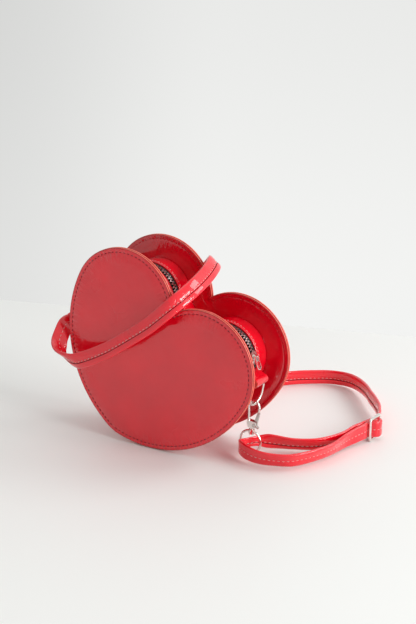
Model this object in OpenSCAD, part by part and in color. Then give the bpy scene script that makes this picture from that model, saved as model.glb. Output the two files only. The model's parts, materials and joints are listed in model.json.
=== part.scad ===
// Heart shaped purse in patent leather, resting on its right flank with its
// shoulder strap clipped on. X runs to the right, Y from the front panel to
// the back panel, Z up, and the surface that it lies on is at Z = 0.

/* [Heart panels] */
// Width over both lobes
bag_w = 185; // [182:1:190]
// Depth over both panels
bag_d = 64; // [58:1:72]
// How far the radius of a lobe passes a quarter of the width, which makes the
// lobes cross at the notch
lobe_lap = 3.75; // [3:0.25:5]
// Distance from the lobe centres down to the centre of the tip
tip_drop = 71; // [68:1:75]
// Radius of the tip
tip_r = 33; // [31:1:35]
// How far past the middle the centre of each flank's arc lies
flank_reach = 13.5; // [10:0.5:20]
// Angle by which the heart leans over on its right flank, in degrees
lean = 29; // [27:1:31]
// Thickness of one of the two padded layers of a panel
ply_t = 2.5; // [2.2:0.1:2.8]
// Thickness of the leather of the gusset
hide_t = 1.4; // [1.2:0.1:1.6]
// Thickness of the stiffening boards
board_t = 1.2; // [0.8:0.1:1.6]
// Thickness of the cloth lining
lining_t = 0.6; // [0.4:0.1:0.8]
// Chamfer on the painted cut edges
edge_chamfer = 0.8; // [0.5:0.1:1]

/* [Gusset and zip] */
// Width of the rim that stands out past the gusset
rim_w = 20; // [17:0.5:22]
// Distance of the zip behind the middle of the gusset
zip_y = 6.2; // [4:0.2:7]
// Half width of the slit that shows the zip
slit_half = 4.8; // [4.6:0.1:5.4]
// Thickness of the zip tape
tape_t = 0.6; // [0.4:0.1:0.7]
// Width of the zip tape from the chain to its sewn edge
tape_w = 9; // [8:0.5:11]
// Length of one tooth across the chain
tooth_w = 2.5; // [2.3:0.1:2.6]
// Height of one tooth through the tape
tooth_h = 2.4; // [2.2:0.1:2.6]
// Distance from one tooth to the next on the same tape
tooth_pitch = 2.7; // [2.6:0.1:3.4]
// Length of the zip slider along the chain
slider_l = 9.6; // [9:0.2:11]
// Length of the zip pull from its pin to its end
pull_l = 11; // [9:0.5:11.5]
// Width of the zip pull
pull_w = 6.4; // [6:0.2:7]

/* [Tabs and rings] */
// Distance of the tabs behind the middle of the gusset
tab_y = 3.5; // [2:0.5:6]
// Height of the roll's middle over the gusset
tab_lift = 8; // [7:0.5:9]
// Length of the rolled tabs
tab_l = 17.5; // [15:0.5:19]
// Outer radius of the roll
tab_r = 4.2; // [3.8:0.1:4.6]
// Radius of the wire of the strap rings
ring_wire_r = 1.1; // [0.9:0.1:1.3]
// Depth of a strap ring from its bar to its bow
ring_drop = 21; // [19:0.5:23]

/* [Snap hooks] */
// Length of a hook from the ring wire to the middle of its eye
hook_l = 33.95; // [33:0.05:36]
// Radius of the hook's wire
hook_wire_r = 1; // [0.8:0.1:1.2]
// Inner radius of the hook's bow
hook_bow_r = 4; // [3.4:0.1:4.6]
// Room left in the eye between the strap and the swivel's head
eye_room = 1.45; // [1:0.05:2]
// Radius of the wire of the eye
eye_wire_r = 1; // [0.8:0.1:1.1]
// Radius of the rivet that the gate turns on
rivet_r = 0.8; // [0.7:0.05:0.9]
// Radius of the swivel post
post_r = 1.2; // [1:0.1:1.4]

/* [Strap] */
// Width of the strap
strap_w = 14; // [13:0.5:14.5]
// Thickness of the strap, two layers of leather
strap_t = 3; // [2.6:0.1:3.1]
// Radius of the bar and rails of the slide buckle
buckle_wire_r = 1.2; // [1:0.1:1.4]
// Length of the slide buckle along the strap
buckle_l = 21; // [19:0.5:23]

/* [Hidden] */

// Clearances
skin_gap = 0.05;
seat_gap = 0.3;
pin_gap = 0.1;
cut_over = 1;

// Colours
patent_red = [0.80, 0.02, 0.08];
edge_coral = [0.95, 0.35, 0.30];
board_grey = [0.55, 0.5, 0.45];
lining_tan = [0.62, 0.45, 0.35];
tape_black = [0.05, 0.05, 0.05];
bright_metal = [0.80, 0.80, 0.78];

// Heart outline: two lobes, two flanks and a tip, all round arcs that run
// smoothly into each other, and a sharp notch where the lobes meet
half_d = bag_d / 2;
lobe_r = bag_w / 4 + lobe_lap;
lobe_x = bag_w / 2 - lobe_r;
notch_v = sqrt(lobe_r * lobe_r - lobe_x * lobe_x);
// The flank's arc touches the lobe's and the tip's from outside: its centre
// is the one at flank_reach past the middle that both distances allow
flank_lobe_x = lobe_x + flank_reach;
tip_less = lobe_r - tip_r;
flank_m = flank_lobe_x ^ 2 + tip_less ^ 2 - flank_reach ^ 2 - tip_drop ^ 2;
flank_n = tip_drop ^ 2 - tip_less ^ 2;
flank_v = (tip_drop * flank_m + tip_less * sqrt(flank_m ^ 2 + 4 * flank_lobe_x ^ 2 * flank_n))
          / (2 * flank_n);
flank_c = [-flank_reach, flank_v];
flank_r = norm([flank_lobe_x, flank_v]) + lobe_r;
flank_top_a = atan2(-flank_c[1], lobe_x - flank_c[0]);
flank_tip_a = atan2(-tip_drop - flank_c[1], -flank_c[0]);
notch_a = atan2(notch_v, -lobe_x);
arc_step = 6;
flank_step = 4;

function arc_pts(c, r, a0, a1, step, first = 0) =
    let (n = ceil(abs(a1 - a0) / step))
    [for (i = [first : n]) let (a = a0 + (a1 - a0) * i / n) c + r * [cos(a), sin(a)]];
function mirrored(p) = [-p[0], p[1]];
function inner_backwards(list) = [for (i = [len(list) - 2 : -1 : 1]) list[i]];
// Right half of the outline, drawn in by d, from the tip up to the notch. A
// heart that is drawn in past the notch goes round it in an arc of radius d
function half_outline(d) = concat(
    arc_pts([0, -tip_drop], tip_r - d, -90, flank_tip_a, arc_step),
    arc_pts(flank_c, flank_r - d, flank_tip_a, flank_top_a, flank_step, 1),
    arc_pts([lobe_x, 0], lobe_r - d, flank_top_a, notch_a, arc_step, 1),
    d > 0 ? arc_pts([0, notch_v], d, notch_a - 180, -90, arc_step, 1) : []);
module heart(d = 0) {
    right = half_outline(d);
    left = inner_backwards([for (p = right) mirrored(p)]);
    polygon(concat(right, left));
}
// A plate of the heart outline between two planes, its outer face at y_out
module heart_plate(d, y_low, thick) {
    translate([0, y_low + thick, 0]) rotate([90, 0, 0]) linear_extrude(thick) heart(d);
}
// Leather panel with its outer edge chamfered towards the side dir
module edged_plate(y_low, thick, dir) {
    step = edge_chamfer / 2;
    y_cut = dir < 0 ? y_low : y_low + thick - step;
    y_body = dir < 0 ? y_low + step : y_low;
    heart_plate(0, y_body, thick - step);
    heart_plate(edge_chamfer, y_cut, step);
}

// The bag stands on its right flank
function leaned(p) = [p[0] * cos(lean) + p[1] * sin(lean), -p[0] * sin(lean) + p[1] * cos(lean)];
stand_h = flank_r - leaned(flank_c)[1];
function placed(p, y) = [leaned(p)[0], y, leaned(p)[1] + stand_h];
module leaning() {
    translate([0, 0, stand_h]) rotate([0, lean, 0]) children();
}

// Gusset: a band round a centre in the plane of the heart
gusset_r = lobe_r - rim_w;
module band(c, r0, r1, y0, y1, a0, a1) {
    translate([c[0], 0, c[1]]) rotate([90, 0, 0]) rotate([0, 0, a0])
        rotate_extrude(angle = a1 - a0, $fn = 96)
            translate([min(r0, r1), -y1]) square([abs(r1 - r0), y1 - y0]);
}
// Angles on the lobes where the tabs sit and where the zip ends, each clear of
// what comes before it
function turn(run, r) = run / r * 180 / PI;
part_a = 1;
tab_foot_a = turn(tab_r + seat_gap, gusset_r);
tab_a = flank_top_a + tab_foot_a + part_a;
zip_end_a = tab_a + tab_foot_a + part_a;
lobe_c = [lobe_x, 0];
notch_c = [0, notch_v];
strip_step = 4;
// Edges of the strips, drawn in by d: the upper ones run from the zip's end
// up to the middle of the notch, and the lower one down to the tip
function top_half(d) = concat(
    arc_pts(lobe_c, lobe_r - d, zip_end_a, notch_a, strip_step),
    arc_pts(notch_c, d, notch_a - 180, -90, strip_step, 1));
function base_half(d) = concat(
    arc_pts(lobe_c, lobe_r - d, zip_end_a, flank_top_a, strip_step),
    arc_pts(flank_c, flank_r - d, flank_top_a, flank_tip_a, flank_step, 1),
    arc_pts([0, -tip_drop], tip_r - d, flank_tip_a, -90, strip_step, 1));
function whole(half) = concat(half, [for (i = [len(half) - 2 : -1 : 0]) mirrored(half[i])]);
function backwards(list) = [for (i = [len(list) - 1 : -1 : 0]) list[i]];
module strip(outer_half, inner_half, y0, y1) {
    translate([0, y1, 0]) rotate([90, 0, 0]) linear_extrude(y1 - y0)
        polygon(concat(whole(outer_half), backwards(whole(inner_half))));
}
module top_strip(d0, d1, y0, y1) { strip(top_half(d0), top_half(d1), y0, y1); }
module base_strip(d0, d1, y0, y1) { strip(base_half(d0), base_half(d1), y0, y1); }
panel_t = 2 * ply_t + skin_gap;
inner_half = half_d - panel_t - skin_gap;
gusset_in = rim_w + hide_t;

// Panels
module front_panel() { color(patent_red) leaning() edged_plate(-half_d, ply_t, -1); }
module front_backing() {
    color(patent_red) leaning() edged_plate(-half_d + ply_t + skin_gap, ply_t, 1);
}
module back_panel() { color(patent_red) leaning() edged_plate(half_d - ply_t, ply_t, 1); }
module back_backing() {
    color(patent_red) leaning() edged_plate(half_d - 2 * ply_t - skin_gap, ply_t, -1);
}
board_in = gusset_in + tape_t + lining_t + seat_gap + tooth_h;
module front_board() {
    color(board_grey) leaning() heart_plate(board_in, -inner_half, board_t);
}
module back_board() {
    color(board_grey) leaning() heart_plate(board_in, inner_half - board_t, board_t);
}
lining_y = inner_half - board_t - skin_gap;
module front_lining() {
    color(lining_tan) leaning() heart_plate(board_in, -lining_y, lining_t);
}
module back_lining() {
    color(lining_tan) leaning() heart_plate(board_in, lining_y - lining_t, lining_t);
}

// Gusset strips, the slit for the zip between the two upper ones
module gusset_base() {
    color(patent_red) leaning() base_strip(rim_w, gusset_in, -inner_half, inner_half);
}
module gusset_top_front() {
    color(patent_red) leaning() top_strip(rim_w, gusset_in, -inner_half, zip_y - slit_half);
}
module gusset_top_rear() {
    color(patent_red) leaning() top_strip(rim_w, gusset_in, zip_y + slit_half, inner_half);
}
lining_d = gusset_in + tape_t + skin_gap;
module gusset_lining() {
    color(lining_tan) leaning() {
        base_strip(lining_d, lining_d + lining_t, -lining_y, lining_y);
        top_strip(lining_d, lining_d + lining_t, -lining_y, zip_y - tape_w);
        top_strip(lining_d, lining_d + lining_t, zip_y + tape_w, lining_y);
    }
}

// Zip: tapes under the leather, and two rows of teeth that mesh
chain_half_gap = 0.25;
module zip_tape_front() {
    color(tape_black) leaning()
        top_strip(gusset_in + skin_gap, gusset_in + tape_t, zip_y - tape_w, zip_y - tooth_w);
}
module zip_tape_rear() {
    color(tape_black) leaning()
        top_strip(gusset_in + skin_gap, gusset_in + tape_t, zip_y + tooth_w, zip_y + tape_w);
}

// A place s along the chain, from the closed end over both lobes: each stretch
// is an arc, and a place is its centre, radius, angle and which way is out
tooth_d = gusset_in + tape_t / 2;
tooth_r = lobe_r - tooth_d;
chain_a0 = zip_end_a + 5;
lobe_run = tooth_r * (notch_a - chain_a0) * PI / 180;
notch_run = tooth_d * (2 * notch_a - 180) * PI / 180;
chain_l = 2 * lobe_run + notch_run;
module along_chain(s) {
    if (s <= lobe_run)
        chain_spot(lobe_c, chain_a0 + turn(s, tooth_r), tooth_r, 1) children();
    else if (s <= lobe_run + notch_run)
        chain_spot(notch_c, notch_a - 180 - turn(s - lobe_run, tooth_d), tooth_d, -1) children();
    else
        chain_spot([-lobe_x, 0], 180 - notch_a + turn(s - lobe_run - notch_run, tooth_r), tooth_r, 1)
            children();
}
// Children are drawn with X outwards and Z along the chain
module chain_spot(c, a, r, out) {
    translate([c[0], 0, c[1]]) rotate([0, -a, 0]) translate([r, 0, 0]) flipped(out) children();
}
module flipped(side) { mirror([side < 0 ? 1 : 0, 0, 0]) children(); }
tooth_len = tooth_pitch * 0.44;
tooth_neck = 0.7;
// One tooth seen from outside: a root that grips the tape and a rounded nib
// that enters the gap between two teeth of the other row
module tooth(side) {
    root = side * tooth_w;
    nib = -side * tooth_neck / 2;
    half_root = tooth_len / 2;
    half_nib = tooth_len * 0.36;
    translate([-tooth_h / 2, 0, 0]) rotate([0, 90, 0]) linear_extrude(tooth_h)
        polygon([[half_root, root], [half_root, 0], [half_nib, nib], [-half_nib, nib],
                 [-half_root, 0], [-half_root, root]]);
}
teeth = floor(chain_l / tooth_pitch);
module tooth_row(side, shift) {
    for (i = [0 : teeth - 1]) along_chain((i + shift) * tooth_pitch)
        translate([0, zip_y, 0]) tooth(side);
}
module zip_teeth_front() { color(bright_metal) leaning() tooth_row(-1, 0.25); }
module zip_teeth_rear() { color(bright_metal) leaning() tooth_row(1, 0.75); }
stop_turn = 2.4;
module zip_stops() {
    color(bright_metal) leaning() {
        stop_low = lobe_r - tooth_d - tooth_h / 2;
        stop_high = lobe_r - tooth_d + tooth_h / 2;
        for (side = [-1, 1]) {
            y_near = side < 0 ? zip_y - tooth_w : zip_y + chain_half_gap;
            band(lobe_c, stop_low, stop_high, y_near, y_near + tooth_w - chain_half_gap,
                 zip_end_a + stop_turn / 2, zip_end_a + 3 * stop_turn / 2);
        }
        mirror([1, 0, 0]) band(lobe_c, stop_low, stop_high, zip_y - tooth_w, zip_y + tooth_w,
                               zip_end_a + stop_turn / 2, zip_end_a + 3 * stop_turn / 2);
    }
}

// Slider, curved like the lobe that it runs round, at the closed end
slider_a = zip_end_a + turn(pull_l, gusset_r);
slider_half_a = turn(slider_l / 2, gusset_r);
slider_half_w = 4;
cut_turn = 2;
plate_t = 0.9;
flange_w = 1;
slider_low = lobe_r - tooth_d + tooth_h / 2 + seat_gap;
slider_top = slider_low + plate_t;
slider_foot = lobe_r - gusset_in + seat_gap;
crown_r = slider_top + 1.7;
crown_wall = 1;
crown_half = 1;
pull_pin_r = 0.7;
// Outline of the slider seen from outside, waisted as it narrows to the chain
waist_share = 0.72;
module slider_outline() {
    half_l = slider_l / 2;
    waist = slider_half_w * waist_share;
    rotate([0, 90, 0]) linear_extrude(slider_top + cut_over)
        polygon([[half_l, -waist], [half_l - flange_w, -slider_half_w], [0, -slider_half_w],
                 [-half_l + flange_w, -waist - flange_w / 2], [-half_l, -waist],
                 [-half_l, waist], [-half_l + flange_w, waist + flange_w / 2],
                 [0, slider_half_w], [half_l - flange_w, slider_half_w], [half_l, waist]]);
}
module at_slider() {
    translate([lobe_x, zip_y, 0]) rotate([0, -slider_a, 0]) children();
}
module slider_band(r0, r1, y0, y1) {
    translate([lobe_x, 0, 0]) rotate([90, 0, 0]) rotate([0, 0, slider_a - slider_half_a - cut_turn])
        rotate_extrude(angle = 2 * (slider_half_a + cut_turn), $fn = 96)
            translate([r0, -y1]) square([r1 - r0, y1 - y0]);
}
module zip_slider() {
    color(bright_metal) leaning() {
        intersection() {
            union() {
                slider_band(slider_low, slider_top, zip_y - slider_half_w, zip_y + slider_half_w);
                for (side = [-1, 1]) {
                    y_mid = zip_y + side * (slider_half_w - flange_w / 2);
                    slider_band(slider_foot, slider_low + plate_t / 2, y_mid - flange_w / 2,
                                y_mid + flange_w / 2);
                }
            }
            at_slider() slider_outline();
        }
        at_slider() difference() {
            translate([slider_top - plate_t / 2, crown_half, 0]) rotate([90, 0, 0])
                linear_extrude(2 * crown_half) crown_outline();
            translate([crown_r, 0, 0]) rotate([90, 0, 0])
                cylinder(r = pull_pin_r + pin_gap, h = 2 * (crown_half + cut_over), center = true,
                         $fn = 32);
        }
    }
}
// Arch over the pin, seen from the side: X is the height above the plate
module crown_outline() {
    arch_r = pull_pin_r + pin_gap + crown_wall;
    height = crown_r - slider_top + plate_t / 2;
    translate([height, 0]) circle(r = arch_r, $fn = 32);
    polygon([[0, -slider_l / 3], [0, slider_l / 3], [height, arch_r], [height, -arch_r]]);
}
base_top = lobe_r - tooth_d - tooth_h / 2 - seat_gap;
module zip_slider_base() {
    color(bright_metal) leaning() intersection() {
        slider_band(base_top - plate_t, base_top, zip_y - slider_half_w, zip_y + slider_half_w);
        at_slider() slider_outline();
    }
}
pull_t = 1;
pull_arm = 1;
// How far the pull stands off from hanging straight down over the slider
pull_hang_a = 7;
module zip_pull() {
    color(bright_metal) leaning() at_slider() translate([crown_r, 0, 0]) rotate([0, -pull_hang_a, 0]) {
        rotate([90, 0, 0])
            cylinder(r = pull_pin_r, h = 2 * (crown_half + seat_gap + pull_arm), center = true, $fn = 32);
        translate([-pull_t / 2, 0, 0]) rotate([0, 90, 0]) linear_extrude(pull_t) difference() {
            pull_outline(0);
            pull_slot();
            pull_window();
        }
    }
}
slot_end = pull_pin_r + pin_gap + crown_wall + 2 * seat_gap;
module pull_outline(d) {
    end_r = pull_w / 2 - d;
    eye_half = crown_half + seat_gap + pull_arm;
    polygon(concat([[-pull_pin_r, -eye_half], [slot_end, -eye_half]],
                   arc_pts([pull_l - end_r, 0], end_r, -90, 90, 15),
                   [[slot_end, eye_half], [-pull_pin_r, eye_half]]));
}
module pull_slot() {
    half = crown_half + seat_gap;
    translate([-pull_pin_r - cut_over, -half]) square([slot_end + pull_pin_r + cut_over, 2 * half]);
}
// The pull is an open loop, its rim as wide as its arms
module pull_window() {
    window_r = pull_w / 2 - pull_arm;
    polygon(concat(arc_pts([slot_end + pull_arm + window_r, 0], window_r, 90, 270, 15),
                   arc_pts([pull_l - pull_w / 2, 0], window_r, -90, 90, 15)));
}

// Tabs rolled round the bars of the strap rings, and sewn down at both ends
tab_centre_r = gusset_r + tab_lift;
bore_gap = 0.3;
module tab(side) {
    foot_t = hide_t;
    color(patent_red) leaning() flipped(side) {
        difference() {
            union() {
                band(lobe_c, gusset_r + skin_gap, gusset_r + foot_t, tab_y - tab_l / 2, tab_y + tab_l / 2,
                     tab_a - tab_foot_a, tab_a + tab_foot_a);
                translate([lobe_x, tab_y, 0]) rotate([0, -tab_a, 0]) {
                    translate([tab_centre_r, 0, 0]) rotate([90, 0, 0])
                        cylinder(r = tab_r, h = tab_l, center = true, $fn = 64);
                    translate([0, tab_l / 2, 0]) rotate([90, 0, 0]) linear_extrude(tab_l)
                        polygon([[gusset_r + foot_t / 2, -tab_r], [gusset_r + foot_t / 2, tab_r],
                                 [tab_centre_r, tab_r], [tab_centre_r, -tab_r]]);
                }
            }
            translate([lobe_x, tab_y, 0]) rotate([0, -tab_a, 0]) translate([tab_centre_r, 0, 0])
                rotate([90, 0, 0])
                    cylinder(r = ring_wire_r + bore_gap, h = tab_l + 2 * cut_over, center = true,
                             $fn = 48);
        }
    }
}
module tab_right() { tab(1); }
module tab_left() { tab(-1); }

// Where each ring's bar lies, in the heart's own plane and as placed
bar_uv = [lobe_x + tab_centre_r * cos(tab_a), tab_centre_r * sin(tab_a)];
bar_right = placed(bar_uv, tab_y);
bar_left = placed(mirrored(bar_uv), tab_y);
// The swivel's parts, measured along the hook
boss_h = 3;
head_h = 1.1;
// The eye is just large enough for the strap to pass below the swivel's head
head_drop = boss_h / 2 + seat_gap / 2 + head_h;
eye_r = (strap_w + eye_room + eye_wire_r + head_drop) / 2;
eye_h = eye_r + eye_wire_r + skin_gap;
// How far each ring hangs off the vertical, in degrees, outwards
ring_right_a = -10;
ring_left_a = 75;
// Centre of the left flank's arc, in the plane of the front panel's face
flank_side = placed(mirrored(flank_c), -half_d);
// The left eye hangs clear of the gusset, and the right one rests on the floor
eye_left_gap = 6.4;
eye_left_x = flank_side[0] - flank_r + rim_w - eye_left_gap - eye_r - eye_wire_r;
// A point that hangs below another, dist away, turned outwards to side
function below(p, dist, a, side) = p + dist * [side * sin(a), 0, -cos(a)];
bow_right = below(bar_right, ring_drop, ring_right_a, 1);
bow_left = below(bar_left, ring_drop, ring_left_a, -1);
hook_right_a = -acos(min(1, (bow_right[2] - eye_h) / hook_l));
hook_left_a = asin((bow_left[0] - eye_left_x) / hook_l);
eye_right_c = below(bow_right, hook_l, hook_right_a, 1);
eye_left_c = below(bow_left, hook_l, hook_left_a, -1);
eye_low = eye_right_c - [0, 0, eye_r + eye_wire_r];
// Where the strap passes the front panel's left edge, a little below the eye
edge_drop_share = 0.75;
edge_h = eye_left_c[2] - edge_drop_share * strap_w;
left_edge = [flank_side[0] - sqrt(flank_r ^ 2 - (edge_h - flank_side[2]) ^ 2), -half_d, edge_h];
module hanging(p, a, side) {
    translate(p) rotate([0, -side * a, 0]) children();
}

// Ring: a straight bar in the tab, two legs and a half round bow
ring_half = tab_l / 2 + seat_gap + ring_wire_r;
module strap_ring() {
    leg = ring_drop - ring_half;
    rotate([90, 0, 0]) cylinder(r = ring_wire_r, h = 2 * ring_half, center = true, $fn = 32);
    for (side = [-1, 1]) translate([0, side * ring_half, 0]) {
        sphere(r = ring_wire_r, $fn = 32);
        translate([0, 0, -leg]) cylinder(r = ring_wire_r, h = leg, $fn = 32);
    }
    translate([0, 0, -leg]) rotate([0, 90, 0]) rotate([0, 0, -90]) rotate_extrude(angle = 180, $fn = 64)
        translate([ring_half, 0]) circle(r = ring_wire_r, $fn = 32);
}
module ring_right() { color(bright_metal) hanging(bar_right, ring_right_a, 1) strap_ring(); }
module ring_left() { color(bright_metal) hanging(bar_left, ring_left_a, -1) strap_ring(); }

// Snap hook in its own frame: the ring's wire at the origin, the eye below
bow_c = -(hook_bow_r - ring_wire_r - pin_gap);
bow_mid = hook_bow_r + hook_wire_r;
boss_r = 2.4;
boss_c = -hook_l + eye_r;
head_r = 2.2;
neck_h = 1.2;
body_low = boss_c + boss_h / 2 + seat_gap / 2 + neck_h;
body_h = 6.4;
body_high = body_low + body_h;
body_top_half = 4.3;
body_low_half = 2.6;
body_half_t = 2;
slot_half_t = 1.15;
gate_half_t = 1;
gate_x = 2.4;
gate_z = body_high - body_h / 2;
gate_hub_r = 1.9;
nose_z = bow_c - 4;
leg_x = bow_mid;
// The wire is a little thicker where the bow runs into the leg and the nose
knuckle_share = 1.12;
module hook(right) {
    // bow, back leg and nose
    translate([0, 0, bow_c]) rotate([90, 0, 0]) rotate_extrude(angle = 180, $fn = 64)
        translate([bow_mid, 0]) circle(r = hook_wire_r, $fn = 24);
    leg_h = bow_c - body_high + hook_wire_r;
    leg_in = leg_x - body_top_half + hook_wire_r;
    translate([-leg_x, 0, bow_c]) sphere(r = knuckle_share * hook_wire_r, $fn = 24);
    translate([-leg_x, 0, bow_c]) rotate([0, 180 - atan(leg_in / leg_h), 0])
        cylinder(r = hook_wire_r, h = norm([leg_in, leg_h]), $fn = 24);
    translate([leg_x, 0, bow_c]) sphere(r = knuckle_share * hook_wire_r, $fn = 24);
    translate([leg_x, 0, nose_z]) cylinder(r = hook_wire_r, h = bow_c - nose_z, $fn = 24);
    // body with a slot for the gate's hub
    difference() {
        translate([0, body_half_t, 0]) rotate([90, 0, 0]) linear_extrude(2 * body_half_t)
            polygon([[-body_low_half, body_low], [body_low_half, body_low],
                     [body_top_half, gate_z], [body_top_half, body_high],
                     [-body_top_half, body_high], [-body_top_half, gate_z]]);
        translate([gate_x - gate_hub_r - seat_gap, -slot_half_t, gate_z - gate_hub_r - seat_gap])
            cube([body_top_half + cut_over, 2 * slot_half_t, body_h]);
        translate([gate_x, 0, gate_z]) rotate([90, 0, 0])
            cylinder(r = rivet_r, h = 2 * (body_half_t + cut_over), center = true, $fn = 32);
    }
    // neck, swivel post and its head inside the eye
    translate([0, 0, body_low - neck_h]) cylinder(r = 1.5 * post_r, h = neck_h, $fn = 32);
    translate([0, 0, boss_c - boss_h / 2 - seat_gap / 2 - head_h])
        cylinder(r = post_r, h = boss_h + seat_gap + head_h + 1.5 * neck_h, $fn = 32);
    translate([0, 0, boss_c - boss_h / 2 - seat_gap / 2 - head_h])
        cylinder(r = head_r, h = head_h, $fn = 32);
}
// The gate's tip clears the nose as it swings in
gate_top = nose_z - 2 * seat_gap;
module gate() {
    difference() {
        union() {
            translate([gate_x, 0, gate_z]) rotate([90, 0, 0])
                cylinder(r = gate_hub_r, h = 2 * gate_half_t, center = true, $fn = 32);
            translate([0, gate_half_t, 0]) rotate([90, 0, 0]) linear_extrude(2 * gate_half_t)
                polygon([[gate_x - gate_hub_r * 0.4, gate_z + gate_hub_r * 0.8],
                         [gate_x + gate_hub_r, gate_z],
                         [leg_x + hook_wire_r, gate_top], [leg_x - hook_wire_r, gate_top]]);
            translate([0, gate_half_t, 0]) rotate([90, 0, 0]) linear_extrude(2 * gate_half_t)
                polygon([[gate_x, gate_z - gate_hub_r], [gate_x + gate_hub_r, gate_z],
                         [body_top_half + gate_hub_r, gate_z - gate_hub_r * 0.6],
                         [body_top_half + gate_hub_r, gate_z - gate_hub_r * 1.4]]);
        }
        translate([gate_x, 0, gate_z]) rotate([90, 0, 0])
            cylinder(r = rivet_r + pin_gap, h = 2 * (gate_half_t + cut_over), center = true, $fn = 32);
    }
}
rivet_gap = 0.02;
rivet_head_r = 1.5;
rivet_head_h = 0.4;
module rivet() {
    translate([gate_x, 0, gate_z]) rotate([90, 0, 0]) {
        cylinder(r = rivet_r - rivet_gap, h = 2 * body_half_t, center = true, $fn = 32);
        for (side = [-1, 1]) translate([0, 0, side * (body_half_t + rivet_gap + rivet_head_h / 2)])
            cylinder(r = rivet_head_r, h = rivet_head_h, center = true, $fn = 32);
        cylinder(r = rivet_r / 2, h = 2 * (body_half_t + rivet_head_h), center = true, $fn = 32);
    }
}
module eye() {
    difference() {
        union() {
            translate([0, 0, -hook_l]) rotate([90, 0, 0]) rotate_extrude($fn = 64)
                translate([eye_r, 0]) circle(r = eye_wire_r, $fn = 24);
            translate([0, 0, boss_c - boss_h / 2]) cylinder(r = boss_r, h = boss_h, $fn = 32);
        }
        translate([0, 0, boss_c - boss_h])
            cylinder(r = post_r + pin_gap, h = 2 * boss_h, $fn = 32);
    }
}
module hook_right() { color(bright_metal) hanging(bow_right, hook_right_a, 1) hook(); }
module hook_left() { color(bright_metal) hanging(bow_left, hook_left_a, -1) mirror([1, 0, 0]) hook(); }
module gate_right() { color(bright_metal) hanging(bow_right, hook_right_a, 1) gate(); }
module gate_left() { color(bright_metal) hanging(bow_left, hook_left_a, -1) mirror([1, 0, 0]) gate(); }
module rivet_right() { color(bright_metal) hanging(bow_right, hook_right_a, 1) rivet(); }
module rivet_left() { color(bright_metal) hanging(bow_left, hook_left_a, -1) mirror([1, 0, 0]) rivet(); }
module eye_right() { color(bright_metal) hanging(bow_right, hook_right_a, 1) eye(); }
module eye_left() { color(bright_metal) hanging(bow_left, hook_left_a, -1) mirror([1, 0, 0]) eye(); }

// Slide buckle, standing on edge on the floor with the strap going through
// it towards positive Y: a flat frame with round corners and a round bar
buckle_t = 2 * buckle_wire_r;
buckle_half_l = buckle_l / 2;
buckle_room = 0.6;
buckle_inner_h = strap_w + 2 * buckle_room;
buckle_h = buckle_inner_h + 2 * buckle_t;
clip_x = eye_right_c[0];
buckle_from_clip_shares = [5.3, 6.05];
buckle_c = [clip_x + buckle_from_clip_shares[0] * strap_w,
            tab_y + buckle_from_clip_shares[1] * strap_w, buckle_h / 2];
corner_r = buckle_t;
module round_box(l, h, r) {
    square([l - 2 * r, h], center = true);
    square([l, h - 2 * r], center = true);
    for (i = [-1, 1], j = [-1, 1]) translate([i * (l / 2 - r), j * (h / 2 - r)])
        circle(r = r, $fn = 32);
}
module buckle_frame() {
    color(bright_metal) translate(buckle_c) rotate([90, 0, 90])
        linear_extrude(buckle_t, center = true) difference() {
            round_box(buckle_l, buckle_h, corner_r);
            square([buckle_l - 2 * buckle_t, buckle_inner_h], center = true);
        }
}
module buckle_bar() {
    color(bright_metal) translate(buckle_c)
        cylinder(r = buckle_wire_r, h = buckle_inner_h, center = true, $fn = 32);
}
// The sewn end of the strap, skived thin and rolled round the bar
skived_t = strap_t / 2;
bar_loop_r = buckle_wire_r + pin_gap + skived_t;
module strap_bar_loop() {
    color(patent_red) translate(buckle_c) difference() {
        cylinder(r = bar_loop_r, h = strap_w, center = true, $fn = 48);
        cylinder(r = buckle_wire_r + pin_gap, h = strap_w + 2 * cut_over, center = true, $fn = 48);
    }
}

// Route of the strap. Each row holds the share of the way from one anchor to
// the next, then the offset from there as shares of the strap's width, then
// the direction that its width points in. The rows across the front and over
// the notch lie in the bag's own frame and lean with it
end_shares = [
    [0.8, -0.39, 0.32, 0.05, -0.7, -0.2, 0.68],
    [0.4, -0.3, -0.04, -0.04, -0.7, -0.1, 0.7],
    [0, -0.16, -0.45, -0.14, -0.7, 0, 0.7],
    [0, 0, 0, 0, -0.7, 0, 0.7],
    [0, -0.06, 0.45, -0.1, -0.7, 0, 0.7],
    [0, -0.31, 0.74, -0.3, -0.7, 0, 0.7],
    [0, -0.65, 0.48, -0.57, -0.65, 0, 0.75],
    [0, -0.74, 0, -0.63, -0.65, 0, 0.75],
    [0.1, -0.72, -0.36, -0.56, -0.65, -0.05, 0.75],
    [0.5, -0.66, -0.02, -0.32, -0.68, -0.15, 0.72],
    [1, -0.65, 0.61, -0.02, -0.72, -0.25, 0.65]];
front_shares = [
    [0, -0.31, 0.08, -0.65, -0.94, -0.33, 0.1],
    [0, 0.04, -0.42, -1.02, -0.88, -0.45, -0.06],
    [0, 0.66, -0.86, -1.21, -0.42, -0.8, 0.34],
    [0.1, 1.09, -1.13, -1.49, -0.43, -0.45, 0.77],
    [0.3, 0.71, -1.24, -1.88, -0.6, 0.1, 0.78],
    [0.5, 0.58, -1.18, -1.55, -0.7, 0.25, 0.64],
    [0.7, 0.31, -1, -1.05, -0.76, 0.25, 0.55],
    [0.85, 0.24, -0.84, -0.22, -0.83, 0.2, 0.46],
    [1, -0.02, -0.59, 0.64, -0.87, 0.15, 0.43]];
over_shares = [
    [0.2, 0.09, -0.26, 1.57, -0.93, 0.05, 0.34],
    [0.5, -0.2, 0, 1.87, -0.95, 0, 0.27],
    [0.75, -0.57, 0.14, 2, -0.97, 0, 0.2],
    [1, -1, 0, 1.85, -0.98, 0, 0.16],
    [1, -1.27, 0.54, 1.31, -0.98, 0, 0.16]];
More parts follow.
